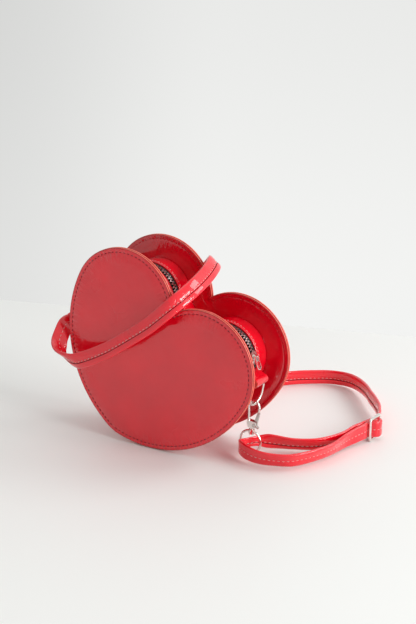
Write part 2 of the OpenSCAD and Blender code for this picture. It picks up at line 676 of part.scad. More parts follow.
back_shares = [
    [0.1, -1.13, 0.75, 1.77, -0.8, 0, 0.55],
    [0.3, -1.7, 0.89, 1.62, -0.95, 0, 0.3],
    [0.6, -1.91, 1.29, 1.88, -1, 0, 0],
    [0.8, -1.77, 2, 1.4, -0.95, 0, 0.2],
    [1, -1.48, 3.21, 1.43, -0.85, 0, 0.5],
    [1, -1.23, 5.07, 0.64, -0.35, 0, 0.9],
    [1, -0.98, 7.07, 0.53, 0, 0, 1],
    [1, -0.48, 8.71, 0.53, 0, 0, 1]];
floor_shares = [
    [0.2, -1.13, 9.3, 0.53, 0, 0, 1],
    [0.4, -1.14, 9.68, 0.53, 0, 0, 1],
    [0.6, -1.33, 8.77, 0.59, 0, 0, 1],
    [0.8, -1.76, 6.82, 0.71, 0, 0, 1],
    [0.9, -1.43, 4.92, 0.77, 0, 0, 1],
    [1, -1.13, 2.95, 0.77, 0, 0, 1],
    [1, -0.45, 1.74, 0.73, 0, 0, 1]];
run_leg_shares = [
    [0, -0.4, -1.59, 0.69, 0.05, 0, 1],
    [0.2, 0.36, -1.38, 0.6, 0.2, 0, 0.98],
    [0.5, 1.67, -1.56, 0.56, 0.4, -0.1, 0.91],
    [0.7, 1.73, -2.39, 0.53, 0.25, -0.37, 0.9],
    [0.9, 1.64, -1.85, 0.53, 0.1, -0.45, 0.89],
    [1, 1.2, -1.43, 0.57, 0, -0.3, 0.95]];
loop_shares = [
    [1, 0.34, -1.25, 0.65, 0, -0.1, 1],
    [1, -0.31, -0.71, 0.68, 0, 0, 1],
    [1, -0.05, 0, 0.68, 0, 0, 1],
    [1, 0.36, 0.57, 0.66, 0, 0, 1],
    [1, 1.04, 0.97, 0.61, 0.1, -0.25, 0.97]];
end_leg_shares = [
    [0.8, 1.14, 0.2, 0.55, 0.22, -0.45, 0.87],
    [0.6, 1.2, -0.28, 0.53, 0.35, -0.3, 0.88],
    [0.3, 0.45, -0.84, 0.55, 0.25, -0.1, 0.96],
    [0.1, -0.25, -0.84, 0.65, 0.1, 0, 1]];
// Through the buckle: shares of half its length, then of how far the strap
// passes outside the rolled end or behind the frame's edges
pass_shares = [[1.3, -1.1], [0.95, -1.15], [0.68, -0.9], [0.54, 0], [0.42, 0.6], [0.22, 0.94], [0, 1],
               [-0.22, 0.94], [-0.42, 0.6], [-0.54, 0], [-0.68, -0.9], [-0.95, -1.15], [-1.3, -1.1]];
sewn_leg_shares = [[-1.3, -2.45], [-0.75, -2.2], [-0.4, -1.7]];
function station(row, from, to) =
    concat(from + row[0] * (to - from) + strap_w * [row[1], row[2], row[3]], [row[4], row[5], row[6]]);
function stations(rows, from, to) = [for (row = rows) station(row, from, to)];
function leaned_3d(x, y, z) = [leaned([x, z])[0], y, leaned([x, z])[1]];
function leaned_row(row) = concat([row[0]], leaned_3d(row[1], row[2], row[3]),
                                  leaned_3d(row[4], row[5], row[6]));
function leaned_rows(rows) = [for (row = rows) leaned_row(row)];
pass_out = bar_loop_r + strap_t / 2 + seat_gap;
pass_in = buckle_wire_r + strap_t / 2 + seat_gap;
function pass_station(p) =
    concat(buckle_c + [p[1] * (p[1] > 0 ? pass_out : pass_in), p[0] * buckle_half_l, 0], [0, 0, 1]);
notch_front = placed(notch_c, -half_d);
notch_back = placed(notch_c, half_d);
notch_floor = [notch_back[0], notch_back[1], 0];
buckle_floor = [buckle_c[0], buckle_c[1], 0];
sewn_end = concat(buckle_c - [bar_loop_r + strap_t / 2 + skin_gap, 0, 0], [0, 0, 1]);
strap_stations = concat(
    stations(end_shares, eye_left_c, left_edge),
    stations(leaned_rows(front_shares), left_edge, notch_front),
    stations(leaned_rows(over_shares), notch_front, notch_back),
    stations(back_shares, notch_back, notch_floor),
    stations(floor_shares, notch_floor, buckle_floor),
    [for (p = pass_shares) pass_station(p)],
    stations(run_leg_shares, buckle_floor, eye_low),
    stations(loop_shares, buckle_floor, eye_low),
    stations(end_leg_shares, buckle_floor, eye_low),
    [for (p = sewn_leg_shares) pass_station(p)],
    [sewn_end]);
strap_subdivisions = 3;
function between(a, b, c, d, t) =
    (2 * b + (c - a) * t + (2 * a - 5 * b + 4 * c - d) * t * t + (3 * b - a - 3 * c + d) * t * t * t) / 2;
function smoothed(list, parts) = let (last = len(list) - 1) concat(
    [for (i = [0 : last - 1], k = [0 : parts - 1])
        between(list[max(i - 1, 0)], list[i], list[i + 1], list[min(i + 2, last)], k / parts)],
    [list[last]]);
strap_route = smoothed(strap_stations, strap_subdivisions);
function unit(v) = v / norm(v);
function place_of(s) = [s[0], s[1], s[2]];
function width_of(s) = [s[3], s[4], s[5]];
strap_chamfer_share = 0.3;
function section() = let (h = strap_w / 2, q = strap_t / 2, c = q * strap_chamfer_share)
    [[h, c - q], [h, q - c], [h - c, q], [c - h, q], [-h, q - c], [-h, c - q], [c - h, -q], [h - c, -q]];
function route_ring(i) =
    let (last = len(strap_route) - 1,
         ahead = unit(place_of(strap_route[min(i + 1, last)]) - place_of(strap_route[max(i - 1, 0)])),
         wide = width_of(strap_route[i]),
         across = unit(wide - (wide * ahead) * ahead),
         thick = cross(ahead, across))
    [for (p = section()) place_of(strap_route[i]) + p[0] * across + p[1] * thick];
// A stretch of the strap between two stations, closed at both ends
module ribbon(first, last) {
    rows = [for (i = [first * strap_subdivisions : last * strap_subdivisions]) route_ring(i)];
    sides = len(rows[0]);
    tops = len(rows) - 1;
    points = [for (row = rows, p = row) p];
    walls = [for (i = [0 : tops - 1], j = [0 : sides - 1])
        let (a = i * sides + j, b = a + sides, d = i * sides + (j + 1) % sides, c = d + sides)
        each [[a, b, c], [a, c, d]]];
    start_cap = [for (j = [1 : sides - 2]) [0, j, j + 1]];
    end_cap = [for (j = [1 : sides - 2]) [tops * sides, tops * sides + j + 1, tops * sides + j]];
    polyhedron(points, concat(walls, start_cap, end_cap));
}
end_at = len(end_shares) - 1;
front_at = end_at + len(front_shares) + len(over_shares);
back_at = front_at + len(back_shares);
floor_at = back_at + len(floor_shares) + 1;
run_leg_at = floor_at - 1 + len(pass_shares) + len(run_leg_shares);
loop_at = run_leg_at + len(loop_shares);
last_at = len(strap_stations) - 1;
module strap_end_left() { color(patent_red) ribbon(0, end_at); }
module strap_front() { color(patent_red) ribbon(end_at, front_at); }
module strap_back() { color(patent_red) ribbon(front_at, back_at); }
module strap_floor() { color(patent_red) ribbon(back_at, floor_at); }
module strap_run_leg() { color(patent_red) ribbon(floor_at, run_leg_at); }
module strap_clip_loop() { color(patent_red) ribbon(run_leg_at, loop_at); }
module strap_end_leg() { color(patent_red) ribbon(loop_at, last_at); }

front_panel();
front_backing();
front_board();
front_lining();
back_panel();
back_backing();
back_board();
back_lining();
gusset_base();
gusset_top_front();
gusset_top_rear();
gusset_lining();
zip_tape_front();
zip_tape_rear();
zip_teeth_front();
zip_teeth_rear();
zip_stops();
zip_slider();
zip_slider_base();
zip_pull();
tab_right();
ring_right();
hook_right();
gate_right();
rivet_right();
eye_right();
tab_left();
ring_left();
hook_left();
gate_left();
rivet_left();
eye_left();
strap_end_left();
strap_front();
strap_back();
strap_floor();
strap_run_leg();
strap_clip_loop();
strap_end_leg();
strap_bar_loop();
buckle_frame();
buckle_bar();
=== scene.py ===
"""Looks of a heart shaped purse in patent leather that lies on its right flank."""

import json
import math

import bpy
import numpy as np
from bpy.props import FloatProperty, FloatVectorProperty, IntProperty, PointerProperty
from bpy.types import Operator, Panel, PropertyGroup
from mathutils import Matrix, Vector


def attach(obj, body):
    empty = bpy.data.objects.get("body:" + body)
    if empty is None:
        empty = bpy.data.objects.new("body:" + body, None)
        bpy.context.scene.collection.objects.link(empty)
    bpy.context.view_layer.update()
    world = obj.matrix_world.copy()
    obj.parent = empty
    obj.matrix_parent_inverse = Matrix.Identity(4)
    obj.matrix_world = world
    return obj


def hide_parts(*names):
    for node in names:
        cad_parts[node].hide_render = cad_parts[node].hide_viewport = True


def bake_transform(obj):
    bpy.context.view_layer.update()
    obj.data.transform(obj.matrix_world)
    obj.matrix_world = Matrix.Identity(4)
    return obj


bl_info = {
    "name": "Heart Purse",
    "version": (1, 0, 0),
    "blender": (4, 5, 0),
    "location": "View3D > Sidebar > Purse",
    "description": "Builds the leather, zip, hardware and strap of a heart shaped purse",
    "category": "Object",
}

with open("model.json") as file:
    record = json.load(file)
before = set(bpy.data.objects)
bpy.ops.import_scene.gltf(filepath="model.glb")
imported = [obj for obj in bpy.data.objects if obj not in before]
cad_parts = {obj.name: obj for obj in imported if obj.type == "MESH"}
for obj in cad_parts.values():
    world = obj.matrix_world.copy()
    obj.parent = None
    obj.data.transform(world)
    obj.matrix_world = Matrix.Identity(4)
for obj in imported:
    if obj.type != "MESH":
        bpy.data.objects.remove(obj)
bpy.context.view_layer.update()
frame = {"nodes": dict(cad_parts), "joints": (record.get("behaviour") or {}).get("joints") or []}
MM = 0.001
JOINTS = {joint["name"]: joint for joint in frame["joints"]}


def measure(name, description, millimetres):
    return FloatProperty(name=name, description=description, default=millimetres * MM,
                         unit="LENGTH")


def colour_choice(name, description, colour):
    return FloatVectorProperty(name=name, description=description, subtype="COLOR",
                               default=colour)


class PurseSizes(PropertyGroup):
    """Sizes of the bag's leather, the same as the solids have."""

    bag_w: measure("Width", "Over both lobes", 185)
    bag_d: measure("Depth", "Over both panels", 64)
    lobe_lap: measure("Lobe lap", "How far a lobe's radius passes a quarter of the width", 3.75)
    tip_drop: measure("Tip drop", "From the lobes to the tip's centre", 71)
    tip_r: measure("Tip radius", "Of the tip", 33)
    flank_reach: measure("Flank reach", "Of each flank's centre past the middle", 13.5)
    lean: FloatProperty(name="Lean", description="Over to the right flank",
                        default=math.radians(29), subtype="ANGLE")
    ply_t: measure("Padded layer", "Thickness of one of a panel's two layers", 2.5)
    hide_t: measure("Leather", "Thickness of the gusset's leather", 1.4)
    rim_w: measure("Rim", "How far the panels stand out past the gusset", 20)
    zip_y: measure("Zip line", "Behind the middle of the gusset", 6.2)
    slit_half: measure("Slit", "Half width of the zip's slit", 4.8)
    tab_y: measure("Tab line", "Behind the middle of the gusset", 3.5)
    tab_l: measure("Tab", "Length of the rolled tabs", 17.5)
    tab_r: measure("Roll", "Outer radius of the tabs' roll", 4.2)
    tab_lift: measure("Lift", "Height of the roll's middle over the gusset", 8)


class StrapSizes(PropertyGroup):
    """Sizes of the strap, its buckle and its stitches."""

    width: measure("Width", "Of the strap", 14)
    thickness: measure("Thickness", "Of both layers", 3)
    stitch_pitch: measure("Stitch pitch", "From stitch to stitch", 3.9)
    stitch_r: measure("Thread", "Radius of the thread", 0.36)
    parts: IntProperty(name="Parts", description="Rings between two stations", default=8)


class FinishColours(PropertyGroup):
    """Colours of the purse's materials."""

    patent: colour_choice("Patent leather", "Under the lacquer", (0.80, 0.0, 0.014))
    edge_paint: colour_choice("Edge paint", "On the cut edges", (0.82, 0.115, 0.075))
    thread: colour_choice("Dark thread", "Of the panels' stitches", (0.24, 0.0, 0.012))
    light_thread: colour_choice("Light thread", "Of the other stitches", (0.92, 0.42, 0.40))
    nickel: colour_choice("Nickel", "Plating of the hardware", (0.86, 0.85, 0.81))
    tape: colour_choice("Zip tape", "Woven tape", (0.012, 0.012, 0.013))
    lining: colour_choice("Lining", "Cloth inside", (0.34, 0.17, 0.11))
    floor: colour_choice("Floor", "Of the table and backdrop", (0.87, 0.885, 0.87))


def sizes():
    return bpy.context.scene.purse_sizes


def strap_sizes():
    return bpy.context.scene.purse_strap


def colours():
    return bpy.context.scene.purse_colours


def joint_place(name):
    return np.array(JOINTS[name]["pos_m"], float)


# Meshes

def outward(verts, faces):
    """Turns all faces round if the volume that they enclose, summed over cones from the
    origin to each face, comes out negative."""
    total = 0.0
    for count in (3, 4):
        ring = np.array([f for f in faces if len(f) == count], int).reshape(-1, count)
        for k in range(1, count - 1):
            a, b, c = verts[ring[:, 0]], verts[ring[:, k]], verts[ring[:, k + 1]]
            total += np.einsum("ij,ij->", a, np.cross(b, c))
    return faces if total > 0 else [f[::-1] for f in faces]


def linked(name, data):
    """A new object in the scene that shows a mesh, a lamp or a camera."""
    thing = bpy.data.objects.new(name, data)
    bpy.context.scene.collection.objects.link(thing)
    return thing


def add_piece(name, verts, faces, material, body, slot, replaced=(), sharp=()):
    """Puts points and faces into a mesh object that rides on a body. Edges between two
    points of the sharp ones stay sharp."""
    verts = np.asarray(verts, float).reshape(-1, 3)
    faces = [list(map(int, f)) for f in faces]
    mesh = bpy.data.meshes.new(name)
    mesh.from_pydata(verts.tolist(), [], outward(verts, faces))
    mesh.polygons.foreach_set("use_smooth", np.ones(len(mesh.polygons), bool))
    if len(sharp):
        ends = np.zeros(2 * len(mesh.edges), int)
        mesh.edges.foreach_get("vertices", ends)
        marked = np.zeros(len(verts), bool)
        marked[np.asarray(sharp, int)] = True
        mesh.edges.foreach_set("use_edge_sharp", marked[ends.reshape(-1, 2)].all(1))
    mesh.update()
    piece = linked(name, mesh)
    mesh.materials.append(material)
    if body:
        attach(piece, body)
    if replaced:
        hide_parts(*replaced)
    return piece


def end_rings(rows):
    """Numbers of the points of a swept section's first and last ring."""
    count, cols = rows.shape[:2]
    return np.concatenate([np.arange(cols), np.arange(cols) + (count - 1) * cols])


def grid_faces(rows, cols, wrap_rows=False):
    """Quads between neighbouring rows of points. Columns close on themselves, and rows do
    where the shape is a ring."""
    index = np.arange(rows * cols).reshape(rows, cols)
    upper = np.roll(index, -1, 0)
    if not wrap_rows:
        index, upper = index[:-1], upper[:-1]
    quads = np.stack([index, np.roll(index, -1, 1), np.roll(upper, -1, 1), upper], -1)
    return quads.reshape(-1, 4).tolist()


def cap_faces(ring, pole):
    """A fan from one point to a ring of points."""
    ring = np.asarray(ring)
    return np.stack([ring, np.roll(ring, -1), np.full(len(ring), pole)], -1).tolist()


def closed_tube(rows):
    """A swept section given as (stations, section points, 3), closed at both ends by fans
    to the middle of the end sections."""
    count, cols = rows.shape[:2]
    verts = np.concatenate([rows.reshape(-1, 3), rows[:1].mean(1), rows[-1:].mean(1)])
    first, last = np.arange(cols), np.arange(cols) + (count - 1) * cols
    faces = grid_faces(count, cols) + cap_faces(first[::-1], count * cols)
    return verts, faces + cap_faces(last, count * cols + 1)


def swept(name, rows, material, body, replaced, slot="patent_leather", crisp=()):
    """A piece made of a swept section, with crisp ends and crisp columns along it."""
    count, cols = rows.shape[:2]
    along = np.arange(count * cols).reshape(count, cols)[:, list(crisp)]
    return add_piece(name, *closed_tube(rows), material, body, slot, replaced,
                     np.concatenate([end_rings(rows), along.ravel()]))


def closed_ring(name, rows, material, body, slot, replaced):
    """A piece made of a swept section whose last row meets its first."""
    faces = grid_faces(*rows.shape[:2], wrap_rows=True)
    return add_piece(name, rows, faces, material, body, slot, replaced)


def second_material(piece, material, quads, lids=False):
    """Gives a second material to the marked quads of a swept section, and to its two lids or
    not."""
    piece.data.materials.append(material)
    marks = np.full(len(piece.data.polygons), lids)
    marks[:len(quads)] = quads
    piece.data.polygons.foreach_set("material_index", marks.astype(np.int32))


def columns(rows, chosen):
    """Marks for a swept section's quads that lie in the chosen columns."""
    count, cols = rows.shape[:2]
    return np.tile(np.isin(np.arange(cols), chosen), count - 1)


def smoothed(stations, parts):
    """Catmull-Rom curve: between two stations the value is the cubic whose slope at each
    station is half the step between that station's neighbours."""
    padded = np.concatenate([stations[:1], stations, stations[-1:]])
    a, b, c, d = (padded[k:len(padded) - 3 + k, None, :] for k in range(4))
    t = (np.arange(parts) / parts)[None, :, None]
    spans = (2 * b + (c - a) * t + (2 * a - 5 * b + 4 * c - d) * t**2
             + (3 * b - a - 3 * c + d) * t**3) / 2
    return np.concatenate([spans.reshape(-1, stations.shape[1]), stations[-1:]])


def unit(v):
    """Vectors divided by their lengths."""
    return v / np.linalg.norm(v, axis=-1, keepdims=True)


def route_frames(route):
    """Middle line, width direction and face direction at each row of a route, whose last
    three columns point along the width. The width is squared up to the line, and the face
    direction is the cross product of the two."""
    ahead = unit(np.gradient(route[:, :3], axis=0))
    wide = route[:, 3:]
    across = unit(wide - np.sum(wide * ahead, 1, keepdims=True) * ahead)
    return route[:, :3], across, np.cross(ahead, across)


def band(route, section):
    """A section, in points across and through the band, set at each row of a route."""
    middle, across, through = route_frames(route)
    return (middle[:, None] + section[None, :, :1] * across[:, None]
            + section[None, :, 1:] * through[:, None])


def thread_row(places, ahead, through, length, radius):
    """Stitches as low pillows: six-sided rings whose radius follows a half sine along the
    stitch, laid at each place along the seam."""
    rings, sides = 5, 6
    s = np.linspace(0, 1, rings)
    a = np.arange(sides) * 2 * np.pi / sides
    swell = np.sin(np.pi * (0.12 + 0.76 * s))
    along = (s - 0.5) * length
    side = np.cross(ahead, through)
    shape = (places[:, None, None] + along[None, :, None, None] * ahead[:, None, None]
             + radius * (swell[:, None] * np.cos(a))[None, ..., None] * side[:, None, None]
             + radius * (swell[:, None] * np.sin(a))[None, ..., None] * through[:, None, None])
    one = grid_faces(rings, sides)
    ends = [list(range(sides))[::-1], [(rings - 1) * sides + k for k in range(sides)]]
    size = rings * sides
    base = np.arange(len(places)) * size
    quads = (base[:, None, None] + np.array(one)[None]).reshape(-1, 4).tolist()
    lids = (base[:, None, None] + np.array(ends)[None]).reshape(-1, sides).tolist()
    return shape.reshape(-1, 3), quads + lids


def stitched(name, seams, body, pitch, length, radius, thread):
    """One mesh of stitches along several seams, each given as points and the direction in
    which its leather faces, one stitch every pitch along the seam."""
    verts, faces, count = [], [], 0
    for line, upward in seams:
        run = np.concatenate([[0], np.cumsum(np.linalg.norm(np.diff(line, axis=0), axis=1))])
        at = np.arange(pitch / 2, run[-1], pitch)
        place, ahead, faced = (
            np.stack([np.interp(at, run, column) for column in values.T], -1)
            for values in (line, np.gradient(line, axis=0), upward))
        ahead = unit(ahead)
        faced = unit(faced - np.sum(faced * ahead, 1, keepdims=True) * ahead)
        v, f = thread_row(place, ahead, faced, length, radius)
        faces += [[i + count for i in one] for one in f]
        verts.append(v)
        count += len(v)
    return add_piece(name, np.concatenate(verts), faces, thread, body, "strap_leather")


# Heart

UP, DOWN = ("lobe", "notch"), ("tip", "flank", "lobe")
NOTCH_COUNT = 26


def heart_arcs():
    """Right half of the heart as arcs: centre, radius, first and last angle, and the side of
    the centre that is outside. The notch is an arc of no radius with its inside outwards. The
    flank's centre lies where both its distances, to the lobe's and to the tip's, fit."""
    s = sizes()
    lobe_r = s.bag_w / 4 + s.lobe_lap
    lobe_x = s.bag_w / 2 - lobe_r
    notch_v = math.sqrt(lobe_r**2 - lobe_x**2)
    beyond, less = lobe_x + s.flank_reach, lobe_r - s.tip_r
    m = beyond**2 + less**2 - s.flank_reach**2 - s.tip_drop**2
    n = s.tip_drop**2 - less**2
    flank_v = (s.tip_drop * m + less * math.sqrt(m**2 + 4 * beyond**2 * n)) / (2 * n)
    flank, flank_r = np.array([-s.flank_reach, flank_v]), math.hypot(beyond, flank_v) + lobe_r
    top = math.atan2(-flank_v, beyond)
    low = math.atan2(-s.tip_drop - flank_v, s.flank_reach)
    notch = math.atan2(notch_v, -lobe_x)
    return {"tip": (np.array([0, -s.tip_drop]), s.tip_r, -math.pi / 2, low, 1),
            "flank": (flank, flank_r, low, top, 1),
            "lobe": (np.array([lobe_x, 0]), lobe_r, top, notch, 1),
            "notch": (np.array([0, notch_v]), 0.0, notch - math.pi, -math.pi / 2, -1)}


def lobe_marks():
    """Radius of the gusset on a lobe, half the angle of a tab's foot, and the angles of the
    tab and of the zip's end, each a degree clear of what comes before it."""
    arcs, s = heart_arcs(), sizes()
    gusset_r = arcs["lobe"][1] - s.rim_w
    foot, part = (s.tab_r + SEAT_GAP) / gusset_r, math.radians(1)
    tab = arcs["flank"][3] + foot + part
    return gusset_r, foot, tab, tab + foot + part


def arc_line(arc, inset, a0, a1, count):
    """Points at even angles on an arc drawn in by inset, and the outward directions there."""
    centre, radius, _, _, side = arc
    a = np.linspace(a0, a1, count)
    ray = np.stack([np.cos(a), np.sin(a)], -1)
    return centre + (radius - side * inset) * ray, side * ray


def half_line(inset, names, step, start=None):
    """Arcs of the right half one after the other, from the tip up to the notch, or from an
    angle on the lobe."""
    arcs = heart_arcs()
    points, normals = [], []
    for name in names:
        arc = arcs[name]
        a0, a1 = arc[2], arc[3]
        if start is not None and name == "lobe":
            a0, a1 = (start, a1) if names == UP else (a0, start)
        size = max(abs(arc[1] - arc[4] * inset), 0.004)
        count = max(int(abs(a1 - a0) * size / step), 6) if name != "notch" else NOTCH_COUNT
        p, n = arc_line(arc, inset, a0, a1, count)
        points.append(p[1:] if points else p)
        normals.append(n[1:] if normals else n)
    return np.concatenate(points), np.concatenate(normals)


def mirrored(values, last=None):
    """Points or directions of the right half, followed by those of the left half."""
    return np.concatenate([values, (values * [-1, 1])[-2:last:-1]])


def heart_loop(inset=0.0):
    """Outline of the whole heart with its outward directions, closed on itself."""
    p, n = half_line(inset, (*DOWN, "notch"), 1.2 * MM)
    return mirrored(p, 0), mirrored(n, 0)


def stand_height():
    """How far the leaned heart is lifted: the flank's radius less its centre's height."""
    flank = heart_arcs()["flank"]
    lean = sizes().lean
    return flank[1] - (-flank[0][0] * math.sin(lean) + flank[0][1] * math.cos(lean))


def leaned(uv, y):
    """Turns points in the heart's own plane over to its right flank and lifts them."""
    lean = sizes().lean
    u, v = uv[..., 0], uv[..., 1]
    x = u * math.cos(lean) + v * math.sin(lean)
    z = -u * math.sin(lean) + v * math.cos(lean) + stand_height()
    return np.stack([x, np.broadcast_to(y, x.shape), z], -1)


def buckled(uv, seed):
    """Soft unevenness of glued leather: a sum of sines of different lengths and headings,
    between about plus and minus one."""
    rng = np.random.default_rng(seed)
    total = np.zeros(uv.shape[:-1])
    for length in (62, 41, 29, 19):
        heading = rng.uniform(0, 2 * np.pi)
        wave = np.array([np.cos(heading), np.sin(heading)]) * 2 * np.pi / (length * MM)
        total += np.sin(uv @ wave + rng.uniform(0, 2 * np.pi)) * length / 150
    return total


BOARD_T = 1.2 * MM
LINING_T = 0.6 * MM
LINING_IN = 25.3 * MM
LINING_DROP = 22.05 * MM
TAPE_W = 9 * MM
SEAM_IN = 3.7 * MM
SEAM_PULL = 0.36
SWELL_REACH = 11 * MM
FURROW_W = 0.7 * MM
CALM_REACH = 16 * MM
POLE_V = -24 * MM
POLE_RINGS = 26
RIM_SHARE = 4
GLUE = 0.05 * MM
PANEL_MARGIN = (16, 12, 9, 7, 5.8, 5.0, 4.5, 4.1, 3.7, 3.3, 2.9, 2.3, 1.8)


def heart_plate(name, y_face, y_back, inset, material, slot, replaced, seed, unevenness=0.0,
                rim_round=1.2 * MM, dimple=0.0, margin=PANEL_MARGIN, painted=True):
    """A plate of the heart's outline. Rows run from a pole on the face out to the rim,
    round it on a half circle and back to a pole on the other side. The face lies at y_face,
    is uneven away from the rim and has a furrow below the stitches. On a painted plate its
    height falls by a share that grows with the square of the way from the swell's reach out
    to the seam. The attribute "rim" holds the nearest place on the outline and a quarter of
    the distance from it."""
    loop, normal = heart_loop(inset)
    half_t = abs(y_back - y_face) / 2
    mid = (y_face + y_back) / 2
    way = math.copysign(1, y_face - y_back)
    r = min(rim_round, half_t * 0.96)
    turn = np.linspace(0, np.pi / 2, 7)
    near = np.array(margin) * MM
    depth = np.concatenate([near, r * (1 - np.sin(turn))])
    high = np.concatenate([np.full(len(near), half_t), (half_t - r) + r * np.cos(turn)])
    high[:len(near)] -= dimple * np.exp(-((near - SEAM_IN) / FURROW_W)**2)
    ring = loop[None] - depth[:, None, None] * normal[None]
    heart = np.array([0, POLE_V])
    shares = np.linspace(0.04, 0.96, POLE_RINGS)
    uv = np.concatenate([heart + shares[:, None, None] * (ring[0] - heart)[None], ring])
    face_h = np.concatenate([np.full(len(shares), half_t), high])
    deep = np.concatenate([near[0] + (1 - shares) * 30 * MM, depth])
    fade = np.clip(deep / CALM_REACH, 0, 1)**0.7
    back_h = face_h
    wave = unevenness * buckled(uv, seed) * fade[:, None]
    if painted:
        inward = np.clip(1 - (deep - SEAM_IN) / SWELL_REACH, 0, 1)
        face_h = face_h * (1 - SEAM_PULL * inward**2)
    front = leaned(uv, mid + way * (face_h[:, None] + wave))
    back = leaned(uv[::-1], np.broadcast_to(mid - way * back_h[::-1, None], uv.shape[:2]))
    rows = np.concatenate([front, back])
    count, cols = rows.shape[:2]
    piece = add_piece(name, *closed_tube(rows), material, "bag", slot, replaced)
    place = np.broadcast_to(loop[None], uv.shape)
    far = np.broadcast_to(deep[:, None, None] / RIM_SHARE, (*uv.shape[:2], 1))
    mark = np.concatenate([place, far], -1)
    mark = np.concatenate([mark, mark[::-1]]).reshape(-1, 3)
    mark = np.concatenate([mark, [[0, 0, 0.02], [0, 0, 0.02]]])
    rim = piece.data.attributes.new("rim", "FLOAT_VECTOR", "POINT")
    rim.data.foreach_set("vector", mark.ravel())
    if painted:
        row = np.arange(count - 1)
        first = len(shares) + len(near) + 2
        second_material(piece, edge_material(),
                        np.repeat((row >= first) & (row <= count - 2 - first), cols))
    return piece


def strip_line(inset, names):
    """Line of a strip from the zip's right end over the notch, or round the tip, to its
    left end, with outward directions."""
    p, n = half_line(inset, names, 1.2 * MM, lobe_marks()[3])
    if names == DOWN:
        p, n = p[::-1], n[::-1]
    return mirrored(p), mirrored(n)


def gusset_strip(name, names, section, material, replaced, slot="patent_leather"):
    """A section, in points (place across the bag, height above the gusset's outer face),
    carried along the strip's line."""
    s = sizes()
    p, n = strip_line(s.rim_w, names)
    section = np.asarray(section)
    uv = p[:, None] + section[None, :, 1:] * n[:, None]
    rows = leaned(uv, np.broadcast_to(section[:, 0], uv.shape[:2]))
    return swept(name, rows, material, "bag", replaced, slot)


def strip_section(y0, y1, thick, crown=0.0, fold=(False, False), steps=22):
    """Cross section of a leather strip: its outer face swells by crown in the middle, and
    an edge that is folded over ends in a half circle instead of a small rounding."""
    y = np.linspace(y0, y1, steps)
    share = (y - y0) / (y1 - y0)
    rise = crown * np.sin(np.pi * np.clip(share, 0, 1))**0.8
    lip = 0.35 * MM
    for edge, folded in ((y0, fold[0]), (y1, fold[1])):
        away = np.abs(y - edge)
        rise = rise + (0.5 * MM if folded else 0) * np.exp(-(away / (2.2 * MM))**2)
        rise = rise - lip * np.clip(1 - away / lip, 0, 1)**2
    outer = np.stack([y, rise], -1)
    inner = np.stack([y[::-1], np.full(steps, -thick)], -1)
    inner[0, 1] += lip / 2
    inner[-1, 1] += lip / 2
    return np.concatenate([outer, inner])


def flat_section(y0, y1, top, under, steps):
    """Cross section of a flat strip between two heights."""
    y = np.linspace(y0, y1, steps)
    return np.concatenate([np.stack([y, np.full(steps, top)], -1),
                           np.stack([y[::-1], np.full(steps, under)], -1)])


# Materials

LOOKS = {}


def node_tree(name):
    """A new material with its tree, its shader and the object coordinates."""
    material = LOOKS[name] = bpy.data.materials.new("look_" + name)
    material.use_nodes = True
    tree = material.node_tree
    tree.nodes.clear()
    out = tree.nodes.new("ShaderNodeOutputMaterial")
    shader = tree.nodes.new("ShaderNodeBsdfPrincipled")
    tree.links.new(shader.outputs[0], out.inputs[0])
    place = tree.nodes.new("ShaderNodeTexCoord").outputs["Object"]
    return material, tree, shader, place


def set_inputs(node, **values):
    for key, value in values.items():
        node.inputs[key.replace("_", " ")].default_value = value


def textured(tree, kind, scale, vector, **values):
    """A texture node on the given coordinates, with its inputs set."""
    node = tree.nodes.new("ShaderNodeTex" + kind)
    set_inputs(node, Scale=scale, **values)
    tree.links.new(vector, node.inputs["Vector"])
    return node


def noise(tree, scale, vector, **values):
    return textured(tree, "Noise", scale, vector, **values).outputs[0]


def maths(tree, operation, a, b, clamp=False):
    node = tree.nodes.new("ShaderNodeMath")
    node.operation = operation
    node.use_clamp = clamp
    for socket, value in zip(node.inputs, (a, b)):
        if isinstance(value, (int, float)):
            socket.default_value = value
        else:
            tree.links.new(value, socket)
    return node.outputs[0]


def plus(tree, a, b, clamp=False):
    return maths(tree, "ADD", a, b, clamp)


def minus(tree, a, b, clamp=False):
    return maths(tree, "SUBTRACT", a, b, clamp)


def times(tree, a, b, clamp=False):
    return maths(tree, "MULTIPLY", a, b, clamp)


def ramp(tree, value, stops):
    node = tree.nodes.new("ShaderNodeValToRGB")
    tree.links.new(value, node.inputs[0])
    element = node.color_ramp.elements
    while len(element) < len(stops):
        element.new(0.5)
    for e, (place, colour) in zip(element, stops):
        e.position = place
        e.color = (*colour, 1)
    return node.outputs[0]


def base_colour(tree, shader, value, stops):
    tree.links.new(ramp(tree, value, stops), shader.inputs["Base Color"])


def varied_roughness(tree, shader, smear, spread, least):
    """Roughness that grows from its least value with a smear's value times the spread."""
    tree.links.new(plus(tree, times(tree, smear, spread), least), shader.inputs["Roughness"])


def bumped(tree, shader, height, distance, coat=False):
    node = tree.nodes.new("ShaderNodeBump")
    set_inputs(node, Strength=1.0, Distance=distance)
    tree.links.new(height, node.inputs["Height"])
    for name in ("Normal", "Coat Normal")[:1 + coat]:
        tree.links.new(node.outputs[0], shader.inputs[name])


def scaled(colour, factor):
    return tuple(min(1.0, c * factor) for c in colour)


def rim_mark(tree):
    """The nearest place on the heart's outline, and a quarter of the distance from it."""
    mark = tree.nodes.new("ShaderNodeAttribute")
    mark.attribute_name = "rim"
    split = tree.nodes.new("ShaderNodeSeparateXYZ")
    tree.links.new(mark.outputs["Vector"], split.inputs[0])
    return mark.outputs["Vector"], split.outputs["Z"]


